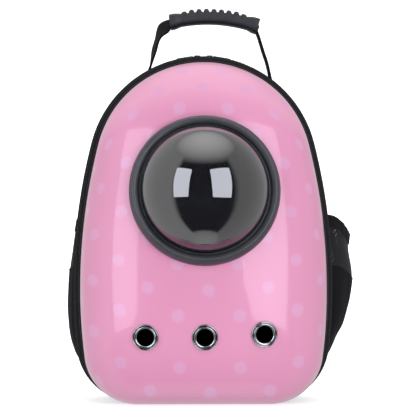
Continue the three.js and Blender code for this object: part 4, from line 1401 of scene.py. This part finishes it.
def adjuster_part(straps):
    """A three-bar adjuster: a plate with nipped corners and two slots for the webbing"""
    w, h, d = straps.adjuster_width / 2, straps.adjuster_height / 2, straps.adjuster_thickness / 2
    bar = 0.0038
    nip = 0.0009
    parts = [block((side * (w - bar) - (0 if side > 0 else bar), -d, -h),
                   (side * (w - bar) + (bar if side > 0 else 0), d, h), nip) for side in (LEFT, RIGHT)]
    for z in (-h, -bar / 2, h - bar):
        parts.append(block((-w + bar / 2, -d * 0.8, z), (w - bar / 2, d * 0.8, z + bar), nip))
    return merged(*parts)


class CARRIER_OT_shoulder_straps(bpy.types.Operator):
    """Makes the padded shoulder straps with their bindings, adjusters and lower webbing"""

    bl_idname = "carrier.shoulder_straps"
    bl_label = "Shoulder straps"

    def execute(self, context):
        sizes = carrier()
        straps = sizes.straps
        _, _, front = edge_depths()
        back = front + sizes.body.depth
        wide = np.array([1.0, 0, 0])
        for word, side in SIDES:
            line = strap_line(side, 70)
            taper = strap_taper(straps)
            inner = ribbon(line, straps.width - 0.005, 0.80 * straps.thickness, wide,
                           crowned_section((5.0, 2.4), 24), taper)
            inner[0][:, 1] = np.maximum(inner[0][:, 1], back + GAP)
            obj = piece(f"padded_strap_{word}", inner, finish_for("pad"),
                        [f"shoulder_strap_{word}"])
            puffed(obj, 0.0042, 3.0, 0.0014)
            along = headings(line)
            bindings = []
            for edge in (LEFT, RIGHT):
                rim = []
                normals = []
                for k, (centre, heading) in enumerate(zip(line, along)):
                    normal = np.cross(heading, wide)
                    normal /= np.linalg.norm(normal)
                    across = np.cross(normal, heading)
                    half = (straps.width / 2 - 0.0028) * taper(k / (len(line) - 1))
                    rim.append(centre + edge * half * across)
                    normals.append(normal)
                rows = []
                for centre, heading, normal in zip(rim, along, normals):
                    across = np.cross(normal, heading)
                    rows.append([centre + 0.0034 * a * across + 0.0024 * b * normal
                                 for a, b in crowned_section((3.0, 2.2), 12)])
                rows = np.asarray(rows)
                rows[..., 1] = np.maximum(rows[..., 1], back + GAP)
                bindings.append(tube(rows[2:]))
            piece(f"strap_binding_{word}", merged(*bindings), finish_for("binding"))
            for k, edge in enumerate((LEFT, RIGHT), 1):
                seam = []
                outs = []
                for j, (centre, heading) in enumerate(zip(line, along)):
                    normal = np.cross(heading, wide)
                    normal /= np.linalg.norm(normal)
                    if normal[1] < 0:
                        normal = -normal
                    across = np.cross(normal, heading)
                    half = (straps.width / 2 - 0.0075) * taper(j / (len(line) - 1))
                    seam.append(centre + edge * half * across + normal * 0.00385)
                    outs.append(normal)
                stitches(f"strap_stitches_{word}_{k}", to_row(seam[6:-2]), outs[6:-2])
            end, heading = line[-1], along[-1]
            centre = end + heading * (GAP + straps.adjuster_height / 2)
            turn = Vector((0, 0, -1)).rotation_difference(Vector(heading))
            place = Matrix.Translation(centre) @ turn.to_matrix().to_4x4()
            piece(f"three_bar_adjuster_{word}", placed(adjuster_part(straps), place), finish_for("zip"),
                  [f"strap_adjuster_{word}"])
            self.webbing(word, side, straps, back, end, heading, wide)
        return {"FINISHED"}

    def webbing(self, word, side, straps, back, end, heading, wide):
        start = end + heading * (2 * GAP + straps.adjuster_height)
        sunk = 0.0006
        foot = np.array([side * straps.foot_spread, back + sunk, straps.foot_height])
        drop = start[2] - foot[2]
        landing = foot + np.array([0, straps.webbing_thickness, drop / 12])
        belly = start + 0.62 * (landing - start)
        belly[1] += 2 * straps.webbing_thickness
        inside = start - heading * 0.6 * straps.adjuster_height
        route = smooth_line([inside, start, start + heading * drop / 5, belly, landing, foot], 50)
        part = ribbon(route, straps.webbing_width, straps.webbing_thickness, wide, FLAT_SECTION)
        part[0][:, 1] = np.maximum(part[0][:, 1], back + GAP)
        piece(f"lower_webbing_{word}", part, finish_for("webbing"),
              [f"strap_webbing_{word}"], sharp=60)


# Carrying handle. Columns: share of the half span from the middle, share of the rise
LEFT_LEG = [[-0.965, 0.17], [-0.915, 0.40], [-0.88, 0.55], [-0.83, 0.69], [-0.75, 0.82]]
RIGHT_LEG = [[0.765, 0.78], [0.80, 0.66], [0.84, 0.52], [0.88, 0.38], [0.93, 0.22]]


def handle_places():
    sizes = carrier()
    handle = sizes.handle
    _, _, front = edge_depths()
    depth = front + handle.depth
    base = float(crown_height(handle.span / 2, sizes.body.proud))
    ends = base + handle.rise - handle.grip_arch
    middle = handle.shift + handle.grip_shift
    return depth, base, ends, middle


def grip_point(share):
    handle = carrier().handle
    depth, _, ends, middle = handle_places()
    out = share * handle.grip_length / 2
    height = ends + handle.grip_arch * (1 - share**2) - math.tan(handle.grip_tilt) * out
    return np.array([middle + out, depth, height])


def handle_line(steps):
    sizes = carrier()
    handle = sizes.handle
    depth, base, _, _ = handle_places()

    def leg(rows):
        return [(handle.shift + out * handle.span / 2, depth, base + up * handle.rise) for out, up in rows]

    def foot(side):
        x = handle.shift + side * handle.span / 2
        return x, depth, float(crown_height(x, sizes.body.proud)) - 0.001

    grip = [grip_point(share) for share in (-1, -0.6, -0.2, 0.2, 0.6, 1)]
    return smooth_line([foot(-1), *leg(LEFT_LEG), *grip, *leg(RIGHT_LEG), foot(1)], steps)


def grip_part(handle):
    """A soft rounded block with slanted collars and a row of ribs on top"""
    half = handle.grip_length / 2
    ribs_half = (handle.ribs - 1) / 2 * handle.rib_pitch
    section = crowned_section((3.6, 3.0), 32)
    rows = []
    for share in np.linspace(-1, 1, 217):
        x = share * half
        lift = 0.0
        if abs(x) < ribs_half + handle.rib_pitch / 2:
            wave = (x + ribs_half) / handle.rib_pitch
            nearest = min(max(round(wave), 0), handle.ribs - 1)
            bump = max(0.0, 1 - (abs(wave - nearest) / 0.38) ** 3.2)
            last = 0.6 if nearest in (0, handle.ribs - 1) else 1.0
            lift = handle.rib_rise * bump * last if bump > 0.0 else -0.0006
        collar = np.clip((abs(share) - 0.74) / 0.16, 0, 1)
        flare = handle.grip_flare * (collar * collar * (3 - 2 * collar)) * (0.75 + 0.25 * abs(share))
        tip = max(0.0, (abs(share) - 0.985) / 0.015)
        flare -= 0.0012 * tip
        centre = grip_point(share)
        lean = (handle.grip_arch * -2 * share / half)
        row = []
        for a, b in section:
            w, h = (handle.grip_width + flare) / 2, (handle.grip_height + flare) / 2
            up = b * h
            if b > 0.2:
                up += lift * min(1.0, (b - 0.2) / 0.5) * (1 if abs(a) < 0.97 else 0.5)
            fan_out = 0.0002 if share < 0 else 0.0014
            slant = fan_out * b * np.clip((abs(share) - 0.8) / 0.2, 0, 1) * np.sign(share)
            row.append(centre + np.array([slant - up * lean * 0.5, a * w, up]))
        rows.append(row)
    return tube(rows)


class CARRIER_OT_handle(bpy.types.Operator):
    """Bends the handle's webbing and moulds the ribbed grip round it"""

    bl_idname = "carrier.handle"
    bl_label = "Carrying handle"

    def execute(self, context):
        sizes = carrier()
        handle = sizes.handle
        line = handle_line(140)
        across = np.array([0.0, 1.0, 0.0])

        def twist(t):
            return 0.65 * math.exp(-(((t - 0.235) / 0.05) ** 2)) + 0.2 * math.exp(-(((t - 0.12) / 0.06) ** 2))

        def taper(t):
            pinch = math.exp(-(((t - 0.265) / 0.02) ** 2)) + math.exp(-(((t - 0.735) / 0.02) ** 2))
            return 1.0 - 0.12 * pinch

        band_part = ribbon(line, sizes.straps.webbing_width, 0.72 * handle.webbing_thickness, across,
                           FLAT_SECTION, taper, twist)
        piece("handle_band", band_part, finish_for("webbing"), ["handle_webbing"], sharp=60)
        piece("ribbed_grip", grip_part(handle), finish_for("rubber"), ["handle_grip"], sharp=50)
        return {"FINISHED"}


# Side pockets. Columns: share of the height, share of the bulge
FULL_POCKET = [[0, -0.12], [0.05, 0.05], [0.19, 0.34], [0.32, 0.67], [0.67, 1.04], [0.89, 0.92], [1, 1.03]]
FLAT_POCKET = [[0, -0.4], [0.08, 0.45], [0.26, 0.95], [0.60, 0.75], [0.80, 0.4], [1, 0.15]]
# Shares of a pocket's height where the cloth ends and the hem starts
NET_FROM, NET_TO = 0.66, 0.925


def smooth_rows(rows):
    line = smooth_line(rows, 120)
    return line[np.argsort(line[:, 0])]


def pocket_surface(side, bulge, rows):
    sizes = carrier()
    pockets = sizes.pockets
    body = sizes.body
    _, _, front = edge_depths()
    tuck = 3 * sizes.edge.cloth_wall
    dip = pockets.dip * bulge / pockets.full_bulge
    soft = smooth_rows(rows)
    heights = np.linspace(0, sizes.shell.height, 400)
    widths = half_width(heights, body.proud)

    def place(u, v):
        belly = (1 - abs(2 * u - 1) ** 3) ** (1 / 3)
        mouth = pockets.top - dip * belly**pockets.mouth_fullness
        z = pockets.bottom + v * (mouth - pockets.bottom)
        out = -tuck + (tuck + bulge * look_up(soft, v)) * belly
        y = front + pockets.front + pockets.width * u
        return np.array([side * (np.interp(z, heights, widths) + out), y, z])

    return place


def surface_normal(place, u, v, side):
    step = 2e-3
    du = place(min(u + step, 1), v) - place(max(u - step, 0), v)
    dv = place(u, min(v + step, 1)) - place(u, max(v - step, 0))
    out = np.cross(du, dv)
    out /= max(np.linalg.norm(out), 1e-12)
    return out if out[0] * side > 0 else -out


def girth(place, v, steps):
    """Shares across a surface at even steps of cloth, and the whole width of the cloth"""
    fine = 0.5 - 0.5 * np.cos(np.linspace(0, 1, 400) * math.pi)
    line = np.array([place(u, v) for u in fine])
    walk = np.concatenate([[0], np.cumsum(np.linalg.norm(np.diff(line, axis=0), axis=1))])
    return np.interp(np.linspace(0, walk[-1], steps + 1), walk, fine), walk[-1]


def cloth_sheet(place, side, wall, low, high, across, along, gathers):
    """A closed sheet of cloth from a surface, with soft gathers standing off it"""
    us, _ = girth(place, (low + high) / 2, across)
    outer, inner = [], []
    for v in np.linspace(low, high, along + 1):
        row_out, row_in = [], []
        for u in us:
            out = surface_normal(place, u, v, side)
            point = place(u, v) + out * gathers(u, v)
            row_out.append(point)
            row_in.append(point - out * wall)
        outer.append(row_out)
        inner.append(row_in)
    outer, inner = np.asarray(outer), np.asarray(inner)
    around = np.concatenate([outer, inner[:, ::-1]], axis=1)
    lids = [np.stack([outer[k], inner[k]]) for k in (0, -1)]
    return merged(grid(around, closed=True), grid(lids[0]), grid(lids[1]))


def net_sheet(place, side, wall, low, high, pitch, height):
    """Knitted net over a surface, cell by cell, cut straight at its edges"""
    shares, width = girth(place, (low + high) / 2, 200)
    span_v = (high - low) * height
    cells = hexagon_cells(width / 2, span_v / 2, pitch,
                          lambda u, v: abs(u) < width / 2 and abs(v) < span_v / 2 + pitch / 4)

    def point_at(u, v):
        share_u = np.interp(0.5 + u / width, np.linspace(0, 1, len(shares)), shares)
        share_v = min(max((low + high) / 2 + v / height, low), high)
        out = surface_normal(place, share_u, share_v, side)
        return place(share_u, share_v) - out * wall, out

    return hexagon_net(cells, 0.24 * pitch, wall, point_at)


class CARRIER_OT_side_pockets(bpy.types.Operator):
    """Sews the two side pockets: cloth below, net above and an elastic hem"""

    bl_idname = "carrier.side_pockets"
    bl_label = "Side pockets"

    def execute(self, context):
        sizes = carrier()
        pockets = sizes.pockets
        height = pockets.top - pockets.bottom
        for word, side, bulge, rows in (("left", LEFT, pockets.flat_bulge, FLAT_POCKET),
                                        ("right", RIGHT, pockets.full_bulge, FULL_POCKET)):
            place = pocket_surface(side, bulge, rows)
            full = bulge / pockets.full_bulge

            def gathers(u, v):
                folds = math.sin(u * 31 + 2.2 * v) * 0.0007 * (0.35 + v)
                return folds + 0.0009 * noise.noise(Vector((u * 5, v * 6, side * 3.0)))

            def hem_gathers(u, v):
                return 0.0006 * math.sin(u * 88)

            base = piece(f"pocket_cloth_{word}",
                         cloth_sheet(place, side, pockets.wall, 0, NET_FROM, 40, 44, gathers),
                         finish_for("cloth"), [f"pocket_base_{word}"], sharp=60)
            net = piece(f"pocket_mesh_{word}",
                        net_sheet(place, side, pockets.net_wall, NET_FROM, NET_TO, pockets.net_pitch, height),
                        finish_for("net"), [f"pocket_net_{word}"], sharp=60)
            hem = piece(f"pocket_elastic_{word}",
                        cloth_sheet(place, side, pockets.hem_wall, NET_TO - 0.005, 1.0, 60, 10, hem_gathers),
                        finish_for("binding"), [f"pocket_hem_{word}"], sharp=60)
            seam = []
            out = []
            at = NET_FROM - 0.008
            for u in np.linspace(0.04, 0.96, 40):
                normal = surface_normal(place, u, at, side)
                seam.append(place(u, at) + normal * (gathers(u, at) + 0.0002))
                out.append(normal)
            stitches(f"pocket_stitches_{word}", to_row(seam), out)
            _, flat_width = girth(place, NET_FROM / 2, 60)
        return {"FINISHED"}


# Stage


def soft_light(name, place, aim, size, power, shade=(1.0, 1.0, 1.0)):
    light = bpy.data.lights.new(name, "AREA")
    light.shape = "RECTANGLE"
    light.size, light.size_y = size
    light.energy = power
    light.color = shade
    obj = bpy.data.objects.new(name, light)
    bpy.context.scene.collection.objects.link(obj)
    obj.location = place
    obj.rotation_euler = (Vector(aim) - Vector(place)).to_track_quat("-Z", "Y").to_euler()
    obj.visible_glossy = obj.visible_transmission = False
    return obj


def around(azimuth, elevation, distance, centre):
    a, e = math.radians(azimuth), math.radians(elevation)
    back = Vector((math.sin(a) * math.cos(e), -math.cos(a) * math.cos(e), math.sin(e)))
    return Vector(centre) + back * distance


class CARRIER_OT_stage(bpy.types.Operator):
    """Lays the pale floor and sets the soft lights and the camera"""

    bl_idname = "carrier.stage"
    bl_label = "Floor, light and camera"

    def execute(self, context):
        stage = carrier().stage
        scene = context.scene
        self.floor(stage)
        self.lights()
        self.world(scene)
        camera = bpy.data.cameras.new("photo_camera")
        camera.sensor_width = 36.0
        camera.lens = 36.0 * stage.distance / stage.field
        obj = bpy.data.objects.new("photo_camera", camera)
        scene.collection.objects.link(obj)
        aim = Vector((stage.aim_x, RIM_Y, stage.aim_z))
        obj.location = around(-math.degrees(stage.yaw), 0.0, stage.distance, aim)
        obj.rotation_euler = (aim - obj.location).to_track_quat("-Z", "Y").to_euler()
        camera.clip_start, camera.clip_end = 0.05, 60.0
        scene.camera = obj
        scene.view_settings.view_transform = "Standard"
        scene.view_settings.look = "None"
        return {"FINISHED"}

    def floor(self, stage):
        """A round floor that sweeps up into a pale wall on every side"""
        line = [(0.01, 0.0), (5.0, 0.0)]
        line += [(5.0 + 2.0 * math.sin(t), 2.0 - 2.0 * math.cos(t)) for t in np.linspace(0.1, math.pi / 2, 14)]
        line += [(7.0, 9.0)]
        turns = np.linspace(0, 2 * math.pi, 65)
        rows = [[(out * math.cos(a), out * math.sin(a), z) for a in turns] for out, z in line]
        points, faces, uvs = grid(rows)
        mesh = bpy.data.meshes.new("pale_floor")
        mesh.from_pydata([tuple(p) for p in points], [], faces)
        mesh.shade_smooth()
        obj = bpy.data.objects.new("pale_floor", mesh)
        bpy.context.scene.collection.objects.link(obj)
        finish, tree, shader = new_finish("pale_sweep")
        cloud = grain(tree, places(tree), 1.5, 2.0, 0.5)
        shade = blended(tree, cloud, tuple(0.985 * c for c in stage.floor), tuple(stage.floor))
        tree.links.new(shade, shader.inputs["Base Color"])
        shader.inputs["Roughness"].default_value = 0.7
        shader.inputs["Specular IOR Level"].default_value = 0.2
        shader.inputs["Emission Color"].default_value = (1.0, 1.0, 1.0, 1.0)
        split = tree.nodes.new("ShaderNodeSeparateXYZ")
        tree.links.new(places(tree), split.inputs[0])
        x, y = split.outputs["X"], split.outputs["Y"]
        out = maths(tree, "SQRT", maths(tree, "ADD", maths(tree, "MULTIPLY", x, x), maths(tree, "MULTIPLY", y, y)))
        glow = ramp(tree, maths(tree, "DIVIDE", out, 2.0), [(0.18, 0.62), (0.6, 1.0)])
        tree.links.new(glow, shader.inputs["Emission Strength"])
        obj.data.materials.append(finish)
        obj.visible_glossy = obj.visible_diffuse = obj.visible_shadow = False

    def lights(self):
        """Each softbox is a light for the cloth and sheet and a bright card that only gleams."""
        centre = (0.0, -0.15, 0.25)
        for name, azimuth, size, power in (("left", -42, (1.0, 1.7), 8), ("right", 29, (1.25, 1.8), 19)):
            place = around(azimuth, 14, 2.0, centre)
            soft_light(f"{name}_softbox", place, centre, size, power)
            self.card(f"{name}_card", place, centre, size, 4.6)
        soft_light("low_softbox", (0.0, -1.6, -0.5), (0.0, 0.0, 0.1), (2.0, 0.6), 13)

    def card(self, name, place, aim, size, strength):
        w, h = size[0] / 2, size[1] / 2
        mesh = bpy.data.meshes.new(name)
        mesh.from_pydata([(-w, -h, 0), (w, -h, 0), (w, h, 0), (-w, h, 0)], [], [(0, 1, 2, 3)])
        obj = bpy.data.objects.new(name, mesh)
        bpy.context.scene.collection.objects.link(obj)
        obj.location = place
        obj.rotation_euler = (Vector(aim) - Vector(place)).to_track_quat("-Z", "Y").to_euler()
        finish, _, shader = new_finish(name)
        shader.inputs["Base Color"].default_value = (0.0, 0.0, 0.0, 1.0)
        shader.inputs["Emission Color"].default_value = (0.88, 0.91, 1.0, 1.0)
        shader.inputs["Emission Strength"].default_value = strength
        mesh.materials.append(finish)
        obj.visible_camera = obj.visible_diffuse = obj.visible_shadow = False

    def world(self, scene):
        """Dark in front where the camera stands, grey walls at the sides and a pale ceiling"""
        world = bpy.data.worlds.new("pale_room")
        world.use_nodes = True
        tree = world.node_tree
        back = tree.nodes["Background"]
        split = tree.nodes.new("ShaderNodeSeparateXYZ")
        tree.links.new(tree.nodes.new("ShaderNodeTexCoord").outputs["Generated"], split.inputs[0])
        turn = maths(tree, "ARCTAN2", split.outputs["X"], maths(tree, "MULTIPLY", split.outputs["Y"], -1.0))
        around_share = maths(tree, "MULTIPLY_ADD", turn, 0.5 / math.pi, 0.5)
        walls = ramp(tree, around_share, [(0.0, 0.55), (0.2, 0.8), (0.33, 0.95), (0.36, 0.02), (0.64, 0.02),
                                          (0.67, 0.60), (0.8, 0.6), (1.0, 0.55)])
        level = maths(tree, "MULTIPLY_ADD", split.outputs["Z"], 0.5, 0.5)
        ceiling = ramp(tree, level, [(0.0, 0.5), (0.02, 0.4), (0.035, 0.0), (0.86, 0.0), (0.93, 0.55), (1.0, 1.0)])
        shade = maths(tree, "MAXIMUM", walls, maths(tree, "MULTIPLY", ceiling, 2.0))
        tree.links.new(shade, back.inputs["Color"])
        back.inputs["Strength"].default_value = 1.0
        scene.world = world


class CARRIER_PT_parts(bpy.types.Panel):
    """Lists the carrier's parts in the sidebar"""

    bl_idname = "CARRIER_PT_parts"
    bl_label = "Pet carrier"
    bl_space_type = "VIEW_3D"
    bl_region_type = "UI"
    bl_category = "Carrier"

    def draw(self, context):
        for made in PARTS:
            self.layout.operator(made.bl_idname, text=made.bl_label)


SIZES = (ShellSizes, WindowSizes, VentSizes, EdgeSizes, BodySizes, StrapSizes, HandleSizes, PocketSizes,
         StageSizes, CarrierSizes)
PARTS = (CARRIER_OT_front_shell, CARRIER_OT_window, CARRIER_OT_vents, CARRIER_OT_front_edge, CARRIER_OT_zip,
         CARRIER_OT_fabric_body, CARRIER_OT_back_pad, CARRIER_OT_shoulder_straps, CARRIER_OT_handle,
         CARRIER_OT_side_pockets, CARRIER_OT_stage)


def register():
    for made in (*SIZES, *PARTS, CARRIER_PT_parts):
        bpy.utils.register_class(made)
    bpy.types.Scene.carrier_sizes = PointerProperty(type=CarrierSizes)


def unregister():
    del bpy.types.Scene.carrier_sizes
    for made in reversed((*SIZES, *PARTS, CARRIER_PT_parts)):
        bpy.utils.unregister_class(made)


def main():
    register()
    bpy.ops.carrier.front_shell()
    bpy.ops.carrier.window()
    bpy.ops.carrier.vents()
    bpy.ops.carrier.front_edge()
    bpy.ops.carrier.zip()
    bpy.ops.carrier.fabric_body()
    bpy.ops.carrier.back_pad()
    bpy.ops.carrier.shoulder_straps()
    bpy.ops.carrier.handle()
    bpy.ops.carrier.side_pockets()
    bpy.ops.carrier.stage()
    bpy.context.view_layer.update()


if __name__ == "__main__":
    main()
